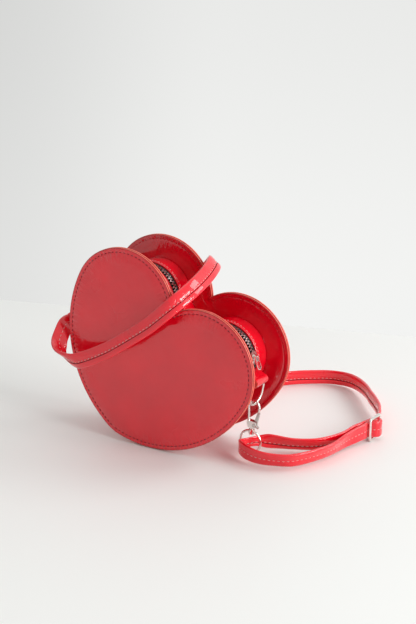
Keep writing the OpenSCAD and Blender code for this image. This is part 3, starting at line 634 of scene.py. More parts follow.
def patent_material(name, colour, relief, crease=0.6, scale=1.0, ripple=0.22, rim=False):
    """Lacquered leather: a deep colour under a clear coat. Its height, in millimetres, sums a
    slow wobble, a finer orange peel, and creases along the cell edges of a warped Voronoi
    pattern that show only in patches. Inside a sewn rim it swells up like a pillow, with
    short wrinkles across the seam, from a noise over the nearest place on the outline."""
    if name in LOOKS:
        return LOOKS[name]
    material, tree, shader, place = node_tree(name)
    slow = textured(tree, "Noise", 42 * scale, place, Detail=2.0, Roughness=0.45)
    fine = noise(tree, 170 * scale, place, Detail=3.0, Roughness=0.55)
    peel = noise(tree, 900, place, Detail=1.0)
    warp = tree.nodes.new("ShaderNodeVectorMath")
    warp.operation = "MULTIPLY_ADD"
    tree.links.new(slow.outputs["Color"], warp.inputs[0])
    warp.inputs[1].default_value = (0.03, 0.03, 0.03)
    tree.links.new(place, warp.inputs[2])
    cell = textured(tree, "Voronoi", 46 * scale, warp.outputs[0], Randomness=1.0)
    cell.feature = "DISTANCE_TO_EDGE"
    line = minus(tree, 1.0, maths(tree, "DIVIDE", cell.outputs["Distance"], 0.035), True)
    patch = noise(tree, 17 * scale, place, Detail=1.0)
    where = times(tree, minus(tree, patch, 0.56), 8.0, True)
    creases = times(tree, maths(tree, "POWER", line, 1.6), where)
    height = plus(tree, slow.outputs[0], times(tree, fine, ripple))
    height = plus(tree, height, times(tree, peel, 0.010))
    height = minus(tree, height, times(tree, creases, crease))
    if rim:
        outline, deep = rim_mark(tree)
        inward = minus(tree, 1.34, maths(tree, "DIVIDE", deep, SWELL_REACH / RIM_SHARE), True)
        height = minus(tree, height, times(tree, maths(tree, "POWER", inward, 2.0), 1.5))
        pucker = noise(tree, 260, outline, Detail=3.0, Roughness=0.65)
        fade = times(tree, times(tree, minus(tree, patch, 0.28, True), inward), 9.0)
        height = plus(tree, height, times(tree, pucker, fade))
    tint = noise(tree, 26, place, Detail=4.0)
    base_colour(tree, shader, tint, [(0.25, scaled(colour, 0.88)), (0.75, scaled(colour, 1.08))])
    varied_roughness(tree, shader, noise(tree, 34, place, Detail=5.0), 0.10, 0.24)
    set_inputs(shader, Specular_IOR_Level=0.2, Coat_Weight=1.0, Coat_Roughness=0.02,
               Coat_IOR=1.6)
    bumped(tree, shader, height, relief * MM, coat=True)
    return material


def edge_material():
    """Edge paint: a rounded film over the cut layers, half gloss, a little worn and darker in
    small nicks. Away from the rim's outermost line, on its turns down beside the leather's face
    and into the groove between the plies, it is painted dark red as painted shade."""
    if "edge_paint" in LOOKS:
        return LOOKS["edge_paint"]
    colour = colours().edge_paint
    material, tree, shader, place = node_tree("edge_paint")
    tint = noise(tree, 160, place, Detail=5.0, Roughness=0.6)
    worn = ramp(tree, tint, [(0.30, scaled(colour, 0.6)), (0.42, scaled(colour, 0.95)),
                             (0.75, scaled(colour, 1.15))])
    # Painted shade: dark red once the rim's distance in from the outline passes about 0.2 to 0.4
    # mm, in the groove between the plies and beside the face.
    deep = ramp(tree, times(tree, rim_mark(tree)[1], 1000),
                [(0.05, (0, 0, 0)), (0.10, (1, 1, 1))])
    mix = tree.nodes.new("ShaderNodeMix")
    mix.data_type = "RGBA"
    tree.links.new(deep, mix.inputs["Factor"])
    tree.links.new(worn, mix.inputs["A"])
    # The dark red of the painted shade.
    mix.inputs["B"].default_value = (0.12, 0.0, 0.004, 1)
    tree.links.new(mix.outputs["Result"], shader.inputs["Base Color"])
    set_inputs(shader, Roughness=0.34)
    bumped(tree, shader, noise(tree, 420, place, Detail=3.0), 0.0003)
    return material


def thread_material(name, colour):
    """Twisted thread: fine diagonal ply ridges, half matt."""
    if name in LOOKS:
        return LOOKS[name]
    material, tree, shader, place = node_tree(name)
    ply = textured(tree, "Wave", 900, place, Distortion=2.0).outputs["Fac"]
    base_colour(tree, shader, ply, [(0.2, scaled(colour, 0.6)), (0.8, scaled(colour, 1.3))])
    set_inputs(shader, Roughness=0.6, Specular_IOR_Level=0.2)
    bumped(tree, shader, ply, 0.0001)
    return material


def light_thread():
    return thread_material("light_thread", colours().light_thread)


def metal_material(name, colour, roughness):
    """Nickel plate: bright, with faint scratches from a stretched noise and duller smears."""
    if name in LOOKS:
        return LOOKS[name]
    material, tree, shader, place = node_tree(name)
    smear = noise(tree, 300, place, Detail=4.0)
    base_colour(tree, shader, smear, [(0.3, scaled(colour, 0.86)), (0.7, scaled(colour, 1.05))])
    set_inputs(shader, Metallic=1.0)
    varied_roughness(tree, shader, smear, 0.14, roughness)
    drawn = tree.nodes.new("ShaderNodeMapping")
    set_inputs(drawn, Scale=(1, 6, 0.25))
    tree.links.new(place, drawn.inputs["Vector"])
    bumped(tree, shader, noise(tree, 1400, drawn.outputs[0], Detail=2.0), 0.00004)
    return material


def cloth_material(name, colour, scale):
    """Plain weave: two crossed sine waves give over and under threads."""
    if name in LOOKS:
        return LOOKS[name]
    material, tree, shader, place = node_tree(name)
    warp, weft = (textured(tree, "Wave", scale, place, Distortion=0.4) for _ in range(2))
    weft.bands_direction = "Z"
    both = times(tree, warp.outputs["Fac"], weft.outputs["Fac"])
    base_colour(tree, shader, both, [(0.0, scaled(colour, 0.6)), (1.0, scaled(colour, 1.3))])
    set_inputs(shader, Roughness=0.8, Sheen_Weight=0.2)
    bumped(tree, shader, both, 0.0002)
    return material


def board_material():
    """Pressed fibre board: fine grey-brown flecks."""
    material, tree, shader, place = node_tree("fibre_board")
    fleck = noise(tree, 700, place, Detail=6.0, Roughness=0.7)
    base_colour(tree, shader, fleck, [(0.3, (0.20, 0.15, 0.11)), (0.7, (0.42, 0.35, 0.28))])
    set_inputs(shader, Roughness=0.9)
    bumped(tree, shader, fleck, 0.0002)
    return material


def backing_leather():
    return patent_material("backing_leather", scaled(colours().patent, 0.8), relief=0.5,
                           crease=1.1, ripple=0.3, rim=True)


def red_leather():
    return patent_material("patent_leather", colours().patent, relief=0.55, ripple=0.4)


def panel_leather():
    return patent_material("panel_leather", colours().patent, relief=0.62, crease=0.3,
                           ripple=0.34, rim=True)


# Strap route, the same as the solids': each row holds the share of the way from one
# anchor to the next, the offset from there as shares of the strap's width, and the
# direction that its width points in. The front and over rows lie in the bag's own frame

END_SHARES = [
    [0.8, -0.39, 0.32, 0.05, -0.7, -0.2, 0.68],
    [0.4, -0.3, -0.04, -0.04, -0.7, -0.1, 0.7],
    [0, -0.16, -0.45, -0.14, -0.7, 0, 0.7],
    [0, 0, 0, 0, -0.7, 0, 0.7],
    [0, -0.06, 0.45, -0.1, -0.7, 0, 0.7],
    [0, -0.31, 0.74, -0.3, -0.7, 0, 0.7],
    [0, -0.65, 0.48, -0.57, -0.65, 0, 0.75],
    [0, -0.74, 0, -0.63, -0.65, 0, 0.75],
    [0.1, -0.72, -0.36, -0.56, -0.65, -0.05, 0.75],
    [0.5, -0.66, -0.02, -0.32, -0.68, -0.15, 0.72],
    [1, -0.65, 0.61, -0.02, -0.72, -0.25, 0.65]]
FRONT_SHARES = [
    [0, -0.31, 0.08, -0.65, -0.94, -0.33, 0.1],
    [0, 0.04, -0.42, -1.02, -0.88, -0.45, -0.06],
    [0, 0.66, -0.86, -1.21, -0.42, -0.8, 0.34],
    [0.1, 1.09, -1.13, -1.49, -0.43, -0.45, 0.77],
    [0.3, 0.71, -1.24, -1.88, -0.6, 0.1, 0.78],
    [0.5, 0.58, -1.18, -1.55, -0.7, 0.25, 0.64],
    [0.7, 0.31, -1, -1.05, -0.76, 0.25, 0.55],
    [0.85, 0.24, -0.84, -0.22, -0.83, 0.2, 0.46],
    [1, -0.02, -0.59, 0.64, -0.87, 0.15, 0.43]]
OVER_SHARES = [
    [0.2, 0.09, -0.26, 1.57, -0.93, 0.05, 0.34],
    [0.5, -0.2, 0, 1.87, -0.95, 0, 0.27],
    [0.75, -0.57, 0.14, 2, -0.97, 0, 0.2],
    [1, -1, 0, 1.85, -0.98, 0, 0.16],
    [1, -1.27, 0.54, 1.31, -0.98, 0, 0.16]]
BACK_SHARES = [
    [0.1, -1.13, 0.75, 1.77, -0.8, 0, 0.55],
    [0.3, -1.7, 0.89, 1.62, -0.95, 0, 0.3],
    [0.6, -1.91, 1.29, 1.88, -1, 0, 0],
    [0.8, -1.77, 2, 1.4, -0.95, 0, 0.2],
    [1, -1.48, 3.21, 1.43, -0.85, 0, 0.5],
    [1, -1.23, 5.07, 0.64, -0.35, 0, 0.9],
    [1, -0.98, 7.07, 0.53, 0, 0, 1],
    [1, -0.48, 8.71, 0.53, 0, 0, 1]]
FLOOR_SHARES = [
    [0.2, -1.13, 9.3, 0.53, 0, 0, 1],
    [0.4, -1.14, 9.68, 0.53, 0, 0, 1],
    [0.6, -1.33, 8.77, 0.59, 0, 0, 1],
    [0.8, -1.76, 6.82, 0.71, 0, 0, 1],
    [0.9, -1.43, 4.92, 0.77, 0, 0, 1],
    [1, -1.13, 2.95, 0.77, 0, 0, 1],
    [1, -0.45, 1.74, 0.73, 0, 0, 1]]
RUN_LEG_SHARES = [
    [0, -0.4, -1.59, 0.69, 0.05, 0, 1],
    [0.2, 0.36, -1.38, 0.6, 0.2, 0, 0.98],
    [0.5, 1.67, -1.56, 0.56, 0.4, -0.1, 0.91],
    [0.7, 1.73, -2.39, 0.53, 0.25, -0.37, 0.9],
    [0.9, 1.64, -1.85, 0.53, 0.1, -0.45, 0.89],
    [1, 1.2, -1.43, 0.57, 0, -0.3, 0.95]]
LOOP_SHARES = [
    [1, 0.34, -1.25, 0.65, 0, -0.1, 1],
    [1, -0.31, -0.71, 0.68, 0, 0, 1],
    [1, -0.05, 0, 0.68, 0, 0, 1],
    [1, 0.36, 0.57, 0.66, 0, 0, 1],
    [1, 1.04, 0.97, 0.61, 0.1, -0.25, 0.97]]
END_LEG_SHARES = [
    [0.8, 1.14, 0.2, 0.55, 0.22, -0.45, 0.87],
    [0.6, 1.2, -0.28, 0.53, 0.35, -0.3, 0.88],
    [0.3, 0.45, -0.84, 0.55, 0.25, -0.1, 0.96],
    [0.1, -0.25, -0.84, 0.65, 0.1, 0, 1]]
PASS_SHARES = [
    [1.3, -1.1], [0.95, -1.15], [0.68, -0.9], [0.54, 0], [0.42, 0.6], [0.22, 0.94], [0, 1],
    [-0.22, 0.94], [-0.42, 0.6], [-0.54, 0], [-0.68, -0.9], [-0.95, -1.15], [-1.3, -1.1]]
SEWN_LEG_SHARES = [[-1.3, -2.45], [-0.75, -2.2], [-0.4, -1.7]]
HOOK_L = 33.95 * MM
EYE_REACH = 10.6 * MM
BUCKLE_L = 21 * MM
BUCKLE_WIRE = 1.2 * MM
SEAT_GAP = 0.3 * MM
BUCKLE_FROM_CLIP_SHARES = (5.3, 6.05)
EDGE_DROP_SHARE = 0.75


def hanging_eye(name):
    """Middle of a hook's eye: below the ring's wire, along the hook's own axis."""
    axis = np.array(JOINTS[f"eye_{name}_swivel"]["axis"], float)
    return joint_place(f"eye_{name}_swivel") - HOOK_L * axis


def left_edge(eye):
    """Where the strap passes the front panel's left edge, a little below the eye."""
    centre, radius = heart_arcs()["flank"][:2]
    side = leaned(centre * [-1, 1], -sizes().bag_d / 2)
    height = eye[2] - EDGE_DROP_SHARE * strap_sizes().width
    return np.array([side[0] - math.sqrt(radius**2 - (height - side[2])**2), side[1], height])


def buckle_middle():
    """Middle of the buckle, set off from the right eye by shares of the strap's width."""
    s = strap_sizes()
    eye = hanging_eye("right")
    height = s.width + 1.2 * MM + 4 * BUCKLE_WIRE
    return np.array([eye[0] + BUCKLE_FROM_CLIP_SHARES[0] * s.width,
                     sizes().tab_y + BUCKLE_FROM_CLIP_SHARES[1] * s.width, height / 2])


def bar_loop_radius():
    """Of the rolled end: the bar's radius, a gap and half the strap's thickness."""
    return BUCKLE_WIRE + 0.1 * MM + strap_sizes().thickness / 2


def strap_stations():
    """All stations of the strap and the index of the last one of each stretch."""
    s = strap_sizes()
    eye_left, eye_right = hanging_eye("left"), hanging_eye("right")
    notch = heart_arcs()["notch"][0]
    front = leaned(notch, -sizes().bag_d / 2)
    back = leaned(notch, sizes().bag_d / 2)
    buckle = buckle_middle()
    edge, low = left_edge(eye_left), eye_right - [0, 0, EYE_REACH]
    on_floor = np.array([1, 1, 0])

    def rows(shares, a, b, lean=0.0):
        table = np.array(shares, float)
        cos, sin = math.cos(lean), math.sin(lean)
        for x in (1, 4):
            table[:, [x, x + 2]] = table[:, [x, x + 2]] @ [[cos, -sin], [sin, cos]]
        place = a + table[:, :1] * (b - a) + s.width * table[:, 1:4]
        return np.concatenate([place, table[:, 4:]], 1)

    def passing(shares):
        table = np.array(shares, float)
        outside = bar_loop_radius() + s.thickness / 2 + SEAT_GAP
        inside = BUCKLE_WIRE + s.thickness / 2 + SEAT_GAP
        off = np.where(table[:, 1] > 0, table[:, 1] * outside, table[:, 1] * inside)
        place = buckle + np.stack([off, table[:, 0] * BUCKLE_L / 2, np.zeros(len(off))], -1)
        return np.concatenate([place, np.tile([0.0, 0, 1], (len(off), 1))], 1)

    sewn = np.concatenate([buckle - [bar_loop_radius() + s.thickness / 2 + 0.05 * MM, 0, 0],
                           [0, 0, 1]])[None]
    parts = {
        "end": rows(END_SHARES, eye_left, edge),
        "front": rows(FRONT_SHARES, edge, front, sizes().lean),
        "over": rows(OVER_SHARES, front, back, sizes().lean),
        "back": rows(BACK_SHARES, back, back * on_floor),
        "floor": rows(FLOOR_SHARES, back * on_floor, buckle * on_floor),
        "pass": passing(PASS_SHARES),
        "run_leg": rows(RUN_LEG_SHARES, buckle * on_floor, low),
        "loop": rows(LOOP_SHARES, buckle * on_floor, low),
        "end_leg": rows(END_LEG_SHARES, buckle * on_floor, low),
        "sewn": passing(SEWN_LEG_SHARES),
        "tail": sewn}
    ends, count = {}, -1
    for name, table in parts.items():
        count += len(table)
        ends[name] = count
    return np.concatenate(list(parts.values())), ends


def strap_section():
    """Cross section in shares of half the width and half the thickness: two layers with
    round folded edges, a lap whose edge runs below the middle of the outer face with a narrow
    groove beside it, and a shallow groove along the inner face. Points run round the section
    against the clock."""
    h, q = strap_sizes().width / 2, strap_sizes().thickness / 2
    shares = np.array([
        [1.0, 0.0], [0.985, 0.30], [0.94, 0.58], [0.86, 0.78], [0.70, 0.93], [0.48, 1.0],
        [0.20, 0.95], [0.02, 0.82], [-0.08, 0.68], [-0.13, 0.62], [-0.18, 0.72], [-0.25, 0.62],
        [-0.29, 0.22], [-0.33, 0.80], [-0.37, 0.98], [-0.46, 1.0], [-0.6, 0.97], [-0.76, 0.86],
        [-0.88, 0.66], [-0.96, 0.42], [-0.99, 0.2], [-1.0, -0.05], [-0.985, -0.46],
        [-0.94, -0.80], [-0.87, -0.95], [-0.6, -0.98], [-0.3, -0.90], [0.0, -0.84], [0.3, -0.90],
        [0.6, -0.98], [0.87, -0.95], [0.94, -0.80], [0.985, -0.46]])
    return shares * [h, q]


STRAP_CUTS = {}
PRESS_SHARE = 0.38
PRESS_REACH = 13 * MM
LAP_GROOVE = (11, 12)


def strap_route():
    """The strap's smoothed route and where its stretches end, worked out once."""
    if not STRAP_CUTS:
        stations, ends = strap_stations()
        STRAP_CUTS["route"] = smoothed(stations, strap_sizes().parts)
        STRAP_CUTS["ends"] = ends
    return STRAP_CUTS["route"], STRAP_CUTS["ends"]


def stretch(first, last):
    """The rows of the route between two stations."""
    parts = strap_sizes().parts
    return slice(first * parts, last * parts + 1)


def pressed(middle):
    """Share of its section that the strap keeps, as the eyes press it together: one less a
    share that falls off with the fourth power of the distance from the nearer eye."""
    eyes = np.array([hanging_eye(side) for side in ("left", "right")])
    near = np.linalg.norm(middle[:, None, :3] - eyes, axis=-1).min(1)
    return 1 - PRESS_SHARE * np.exp(-(near / PRESS_REACH)**4)


def strap_piece(name, first, last, replaced, seed, unevenness):
    """A stretch of the strap between two stations. Its leather is a little uneven: the line
    wanders by small sines along its length, and the section is drawn in near the eyes."""
    route, _ = strap_route()
    cut = stretch(first, last)
    part = route[cut]
    rows = band(route, strap_section())[cut]
    through = route_frames(route)[2][cut]
    run = np.concatenate([[0], np.cumsum(np.linalg.norm(np.diff(part[:, :3], axis=0), axis=1))])
    rng = np.random.default_rng(seed)
    wave = sum(np.sin(run * 2 * np.pi / (length * MM) + rng.uniform(0, 6)) * size
               for length, size in ((23, 0.10), (11, 0.05), (47, 0.12)))
    ends = np.clip(np.minimum(run, run[-1] - run) / (6 * MM), 0, 1)
    rows = part[:, None, :3] + (rows - part[:, None, :3]) * pressed(part)[:, None, None]
    rows = rows + (unevenness * wave * ends * MM)[:, None, None] * through[:, None]
    piece = swept(name, rows, strap_leather(), None, replaced, "strap_leather")
    # The lap groove's quads get a dark material as painted shade.
    second_material(piece, seam_shade(), columns(rows, LAP_GROOVE))
    return piece


def strap_leather():
    return patent_material("strap_leather", scaled(colours().patent, 1.1), relief=0.24,
                           crease=0.8, scale=1.5)


def seam_shade():
    """Painted shade in the narrow groove beside the strap's lap: dull and dark red, with faint
    fibres.
    """
    if "strap_seam" in LOOKS:
        return LOOKS["strap_seam"]
    material, tree, shader, place = node_tree("strap_seam")
    fibre = noise(tree, 800, place, Detail=3.0)
    base_colour(tree, shader, fibre, [(0.3, (0.10, 0.0, 0.004)), (0.7, (0.20, 0.0, 0.008))])
    set_inputs(shader, Roughness=0.8, Specular_IOR_Level=0.1)
    return material


def strap_seams(first, last, across_share, height_share):
    """Line of a seam on the strap, at a share of its half width and half thickness."""
    s = strap_sizes()
    route, _ = strap_route()
    middle, across, through = route_frames(route)
    cut = stretch(first, last)
    way = math.copysign(1, height_share)
    line = (middle + (across_share * s.width / 2 * across
                      + height_share * s.thickness / 2 * through) * pressed(middle)[:, None])[cut]
    return line, way * through[cut]


# Operators

STITCH_SUNK = 0.58 * MM
PANEL_STITCH = 0.62
STRAP_STITCH = 0.56
STRAP_SEAMS = ((-0.13, 0.74), (0.0, -0.78))
ZIP_SEAM_OUT = 2.4 * MM
ZIP_SEAM_RISE = 0.35 * MM
ZIP_STITCH = (3.2 * MM, 2.0 * MM, 0.30 * MM)
TOOTH_REACH = 2.5 * MM
FURROW = 0.22 * MM
BAR_GAP = 0.12 * MM
BUCKLE_SIDES = 20


class PURSE_OT_panels(Operator):
    """Front and back panels, each of two hearts of leather with painted edges"""

    bl_idname = "purse.panels"
    bl_label = "Panels"

    def execute(self, context):
        half, t, gap = sizes().bag_d / 2, sizes().ply_t, GLUE
        for name, way, seed in (("front", -1, 4), ("back", 1, 9)):
            outer = heart_plate(f"{name}_outer_leather", way * half, way * (half - t), 0,
                                panel_leather(), "patent_leather", [f"{name}_panel"], seed,
                                unevenness=0.16 * MM, dimple=FURROW)
            inner = heart_plate(f"{name}_inner_leather", way * (half - 2 * t - gap),
                                way * (half - t - gap), 0, backing_leather(), "patent_leather",
                                [f"{name}_backing"], seed + 1, unevenness=0.14 * MM,
                                dimple=FURROW)
        return {"FINISHED"}


class PURSE_OT_gusset(Operator):
    """Strips that join the panels: one round the tip, and one on each side of the zip"""

    bl_idname = "purse.gusset"
    bl_label = "Gusset"

    def execute(self, context):
        s = sizes()
        inner = s.bag_d / 2 - 2 * s.ply_t - 2 * GLUE
        slit = (s.zip_y - s.slit_half, s.zip_y + s.slit_half)
        for name, names, y0, y1, crown, fold, replaced in (
                ("lower", DOWN, -inner, inner, 0.5, (False, False), "gusset_base"),
                ("upper_front", UP, -inner, slit[0], 0.45, (False, True), "gusset_top_front"),
                ("upper_rear", UP, slit[1], inner, 0.45, (True, False), "gusset_top_rear")):
            gusset_strip(f"gusset_{name}", names,
                         strip_section(y0, y1, s.hide_t, crown * MM, fold), red_leather(),
                         [replaced])
        return {"FINISHED"}


class PURSE_OT_inside(Operator):
    """Boards and cloth lining inside the bag"""

    bl_idname = "purse.inside"
    bl_label = "Inside"

    def execute(self, context):
        s = sizes()
        cloth = cloth_material("lining", colours().lining, 900)
        board = board_material()
        for name in ("front_board", "back_board"):
            dress(name, board)
        t = LINING_T
        reach = s.bag_d / 2 - 2 * s.ply_t - 3 * GLUE - BOARD_T
        for name, way in (("front", -1), ("back", 1)):
            heart_plate(f"{name}_lining_cloth", way * (reach - t), way * reach, LINING_IN, cloth,
                        "lining", [f"{name}_lining"], 5, rim_round=t / 2, margin=(2, 1.2, 0.8),
                        painted=False)
        drop = LINING_DROP - s.rim_w
        bands = ((DOWN, -reach, reach), (UP, -reach, s.zip_y - TAPE_W),
                 (UP, s.zip_y + TAPE_W, reach))
        for k, (names, y0, y1) in enumerate(bands):
            gusset_strip(f"gusset_lining_cloth_{k}", names,
                         flat_section(y0, y1, -drop, -drop - t, 12), cloth, ["gusset_lining"],
                         "lining")
        return {"FINISHED"}


class PURSE_OT_zip(Operator):
    """Zip tapes, teeth, stops, slider and pull"""

    bl_idname = "purse.zip"
    bl_label = "Zip"

    def execute(self, context):
        s = sizes()
        tape = cloth_material("zip_tape", colours().tape, 1600)
        low = -s.hide_t
        for name, y0, y1 in (("zip_tape_front", s.zip_y - TAPE_W, s.zip_y - TOOTH_REACH),
                             ("zip_tape_rear", s.zip_y + TOOTH_REACH, s.zip_y + TAPE_W)):
            gusset_strip(name + "_cloth", UP,
                         flat_section(y0, y1, low - 0.07 * MM, low - 0.6 * MM, 9), tape, [name],
                         "zip_tape")
        teeth = metal_material("tooth_metal", scaled(colours().nickel, 0.75), 0.16)
        bright = metal_material("zip_metal", colours().nickel, 0.08)
        for name in ("zip_teeth_front", "zip_teeth_rear", "zip_stops"):
            dress(name, teeth)
        for name in ("zip_slider", "zip_slider_base", "zip_pull"):
            dress(name, bright)
        return {"FINISHED"}


class PURSE_OT_tabs(Operator):
    """Leather tabs rolled round the bars of the strap rings"""

    bl_idname = "purse.tabs"
    bl_label = "Tabs"

    def execute(self, context):
        for side in ("right", "left"):
            rolled_tab(side)
        return {"FINISHED"}


class PURSE_OT_hardware(Operator):
    """Strap rings, snap hooks and their eyes"""

    bl_idname = "purse.hardware"
    bl_label = "Rings and hooks"

    def execute(self, context):
        bright = metal_material("bright_nickel", colours().nickel, 0.06)
        dark = metal_material("worn_nickel", scaled(colours().nickel, 0.7), 0.16)
        for side in ("right", "left"):
            for name in ("ring", "hook", "eye"):
                dress(f"{name}_{side}", bright)
            for name in ("gate", "rivet"):
                dress(f"{name}_{side}", dark)
        return {"FINISHED"}


class PURSE_OT_strap(Operator):
    """Shoulder strap in its stretches, with a lapped seam"""

    bl_idname = "purse.strap"
    bl_label = "Strap"

    def execute(self, context):
        _, ends = strap_route()
        pieces = {
            "strap_end": (0, ends["end"], ["strap_end_left"]),
            "strap_across_front": (ends["end"], ends["over"], ["strap_front"]),
            "strap_behind": (ends["over"], ends["back"], ["strap_back"]),
            "strap_on_floor": (ends["back"], ends["floor"] + 1, ["strap_floor"]),
            "strap_legs": (ends["floor"] + 1, ends["tail"],
                           ["strap_run_leg", "strap_clip_loop", "strap_end_leg"])}
        for seed, (name, (first, last, replaced)) in enumerate(pieces.items(), 3):
            loose = name not in ("strap_end", "strap_legs")
            piece = strap_piece(name, first, last, replaced, seed, 1.0 if loose else 0.0)
            follow_strap(piece, name)
        s = strap_sizes()
        loop = bar_loop_radius()
        a = np.linspace(0, 2 * np.pi, 33)[:-1]
        z = np.array([-1, -0.97, -0.9, 0, 0.9, 0.97, 1]) * s.width / 2
        outer = np.array([0.94, 0.98, 1, 1, 1, 0.98, 0.94]) * loop
        hole = np.full(len(z), BUCKLE_WIRE + BAR_GAP)
        radius = np.concatenate([outer, hole[::-1]])
        height = np.concatenate([z, z[::-1]])
        ring = np.stack([np.cos(a)[:, None] * radius, np.sin(a)[:, None] * radius,
                         np.broadcast_to(height, (len(a), len(height)))], -1)
        closed_ring("strap_rolled_end", ring + buckle_middle(), strap_leather(), "bag",
                    "strap_leather", ["strap_bar_loop"])
        return {"FINISHED"}


def follow_strap(piece, name):
    """The two stretches at the hooks get their placing baked into their points and ride on no
    body; the others ride on the bag.
    """
    if name == "strap_end":
        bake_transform(piece)
    elif name == "strap_legs":
        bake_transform(piece)
    else:
        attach(piece, "bag")


class PURSE_OT_buckle(Operator):
    """Slide buckle that sets the strap's length"""

    bl_idname = "purse.buckle"
    bl_label = "Slide buckle"

    def execute(self, context):
        bright = metal_material("bright_nickel", colours().nickel, 0.06)
        middle = buckle_middle()
        r = BUCKLE_WIRE
        half_l, half_h = BUCKLE_L / 2 - r, middle[2] - r
        a = np.linspace(0, np.pi / 2, 9)
        corners = []
        for k, (i, j) in enumerate(((1, 1), (-1, 1), (-1, -1), (1, -1))):
            angle = a + k * np.pi / 2
            corners.append(np.stack([i * (half_l - r) + r * np.cos(angle),
                                     j * (half_h - r) + r * np.sin(angle)], -1))
        path = np.concatenate(corners)
        ahead = unit(np.roll(path, -1, 0) - np.roll(path, 1, 0))
        out = np.stack([ahead[:, 1], -ahead[:, 0]], -1)
        t = np.arange(BUCKLE_SIDES) * 2 * np.pi / BUCKLE_SIDES
        cos, sin = np.cos(t), np.sin(t)
        flat = np.sign(cos) * np.abs(cos)**0.7 * r, np.sign(sin) * np.abs(sin)**0.7 * r
        yz = path[:, None] + flat[0][None, :, None] * out[:, None]
        x = np.broadcast_to(flat[1], yz.shape[:2])
        rows = np.concatenate([x[..., None], yz], -1) + middle
        closed_ring("buckle_edge", rows, bright, "bag", "plated_metal", ["buckle_frame"])
        dress("buckle_bar", bright)
        return {"FINISHED"}


class PURSE_OT_stitches(Operator):
    """Stitches round both panels, beside the zip and along the strap"""

    bl_idname = "purse.stitches"
    bl_label = "Stitches"

    def execute(self, context):
        s, strap = sizes(), strap_sizes()
        pitch, r = strap.stitch_pitch, strap.stitch_r
        loop, normal = heart_loop()
        line = loop - SEAM_IN * normal
        line = np.concatenate([line, line[:1]])
        half, sunk = s.bag_d / 2, STITCH_SUNK
        hidden = thread_material("red_thread", scaled(colours().patent, 0.7))
        for name, y, turn, thread in (
                ("panel_stitches", half - sunk, 1,
                 thread_material("dark_thread", colours().thread)),
                ("backing_stitches", half - 2 * s.ply_t - GLUE + sunk, -1, hidden)):
            seams = [(leaned(line, np.full(len(line), way * y)),
                      np.tile([0.0, way * turn, 0.0], (len(line), 1))) for way in (-1, 1)]
            stitched(name, seams, "bag", pitch, PANEL_STITCH * pitch, r, thread)
        p, n = strip_line(s.rim_w, UP)
        upward = leaned(p + n, 0.0) - leaned(p, 0.0)
        out = s.slit_half + ZIP_SEAM_OUT
        seams = [(leaned(p + ZIP_SEAM_RISE * n, np.full(len(p), s.zip_y + way * out)), upward)
                 for way in (-1, 1)]
        stitched("zip_stitches", seams, "bag", *ZIP_STITCH, light_thread())
        _, ends = strap_route()
        spans = {"strap_end": (0, ends["end"]), "strap_main": (ends["end"], ends["floor"] + 1),
                 "strap_legs": (ends["floor"] + 1, ends["tail"])}
        for name, (first, last) in spans.items():
            seams = [strap_seams(first, last, *shares) for shares in STRAP_SEAMS]
            piece = stitched(name + "_stitches", seams, None, pitch, STRAP_STITCH * pitch, r,
                             light_thread())
            follow_strap(piece, name)
        return {"FINISHED"}


class PURSE_OT_stage(Operator):
    """Table top, backdrop, lamps and camera"""

    bl_idname = "purse.stage"
    bl_label = "Stage"

    def execute(self, context):
        scene = context.scene
        scene.view_settings.view_transform = "Standard"
        stage_camera(scene)
        stage_table()
        stage_light(scene)
        return {"FINISHED"}


CAMERA_TARGET = np.array([12.28, 22.7, 109.4]) * MM
CAMERA_AWAY = 1012.4 * MM
CAMERA_AZIMUTH = 0.5563
CAMERA_ELEVATION = 0.2864
FOCAL_PIXELS = 1200
PHOTO_HEIGHT = 624
SENSOR_WIDTH = 36
TABLE_EDGE = ((-427, 252), (59, 377))
TABLE_REACH = 3
TABLE_TOP = -0.4 * MM


def camera_back():
    """Direction from the target to the camera, from its azimuth and elevation."""
    a, e = CAMERA_AZIMUTH, CAMERA_ELEVATION
    return np.array([math.sin(a) * math.cos(e), -math.cos(a) * math.cos(e), math.sin(e)])


def turned(direction):
    """Rotation that points an object's own Z along a direction."""
    return Vector(direction).to_track_quat("Z", "Y").to_euler()


def stage_camera(scene):
    """Camera on the photo's line of sight, looking at the target."""
    data = bpy.data.cameras.new("camera")
    data.sensor_width = SENSOR_WIDTH
    data.lens = FOCAL_PIXELS / PHOTO_HEIGHT * SENSOR_WIDTH
    data.clip_start, data.clip_end = 0.01, 50
    camera = linked("camera", data)
    back = camera_back()
    camera.location = Vector(CAMERA_TARGET + CAMERA_AWAY * back)
    camera.rotation_euler = turned(back)
    scene.camera = camera


def stage_table():
    """A table top whose back edge runs across the view behind the purse."""
    material, tree, shader, place = node_tree("table_top")
    colour = colours().floor
    base_colour(tree, shader, noise(tree, 2.0, place, Detail=2.0),
                [(0.3, scaled(colour, 0.985)), (0.7, scaled(colour, 1.01))])
    set_inputs(shader, Roughness=0.5, Specular_IOR_Level=0.15)
    ends = np.array(TABLE_EDGE) * MM
    along = unit(ends[1] - ends[0])
    near = np.array([along[1], -along[0]])
    corners = [ends[0] - TABLE_REACH * along, ends[1] + TABLE_REACH * along]
    corners += [corners[1] + TABLE_REACH * near, corners[0] + TABLE_REACH * near]
    mesh = bpy.data.meshes.new("table")
    mesh.from_pydata([[*c, TABLE_TOP] for c in corners], [], [[3, 2, 1, 0]])
    mesh.materials.append(material)
    table = linked("table", mesh)


def area_lamp(name, place, target, size, power):
    data = bpy.data.lights.new(name, "AREA")
    data.shape = "RECTANGLE"
    data.size, data.size_y = size
    data.energy = power
    lamp = linked(name, data)
    lamp.location = place
    lamp.rotation_euler = turned(Vector(place) - Vector(target))


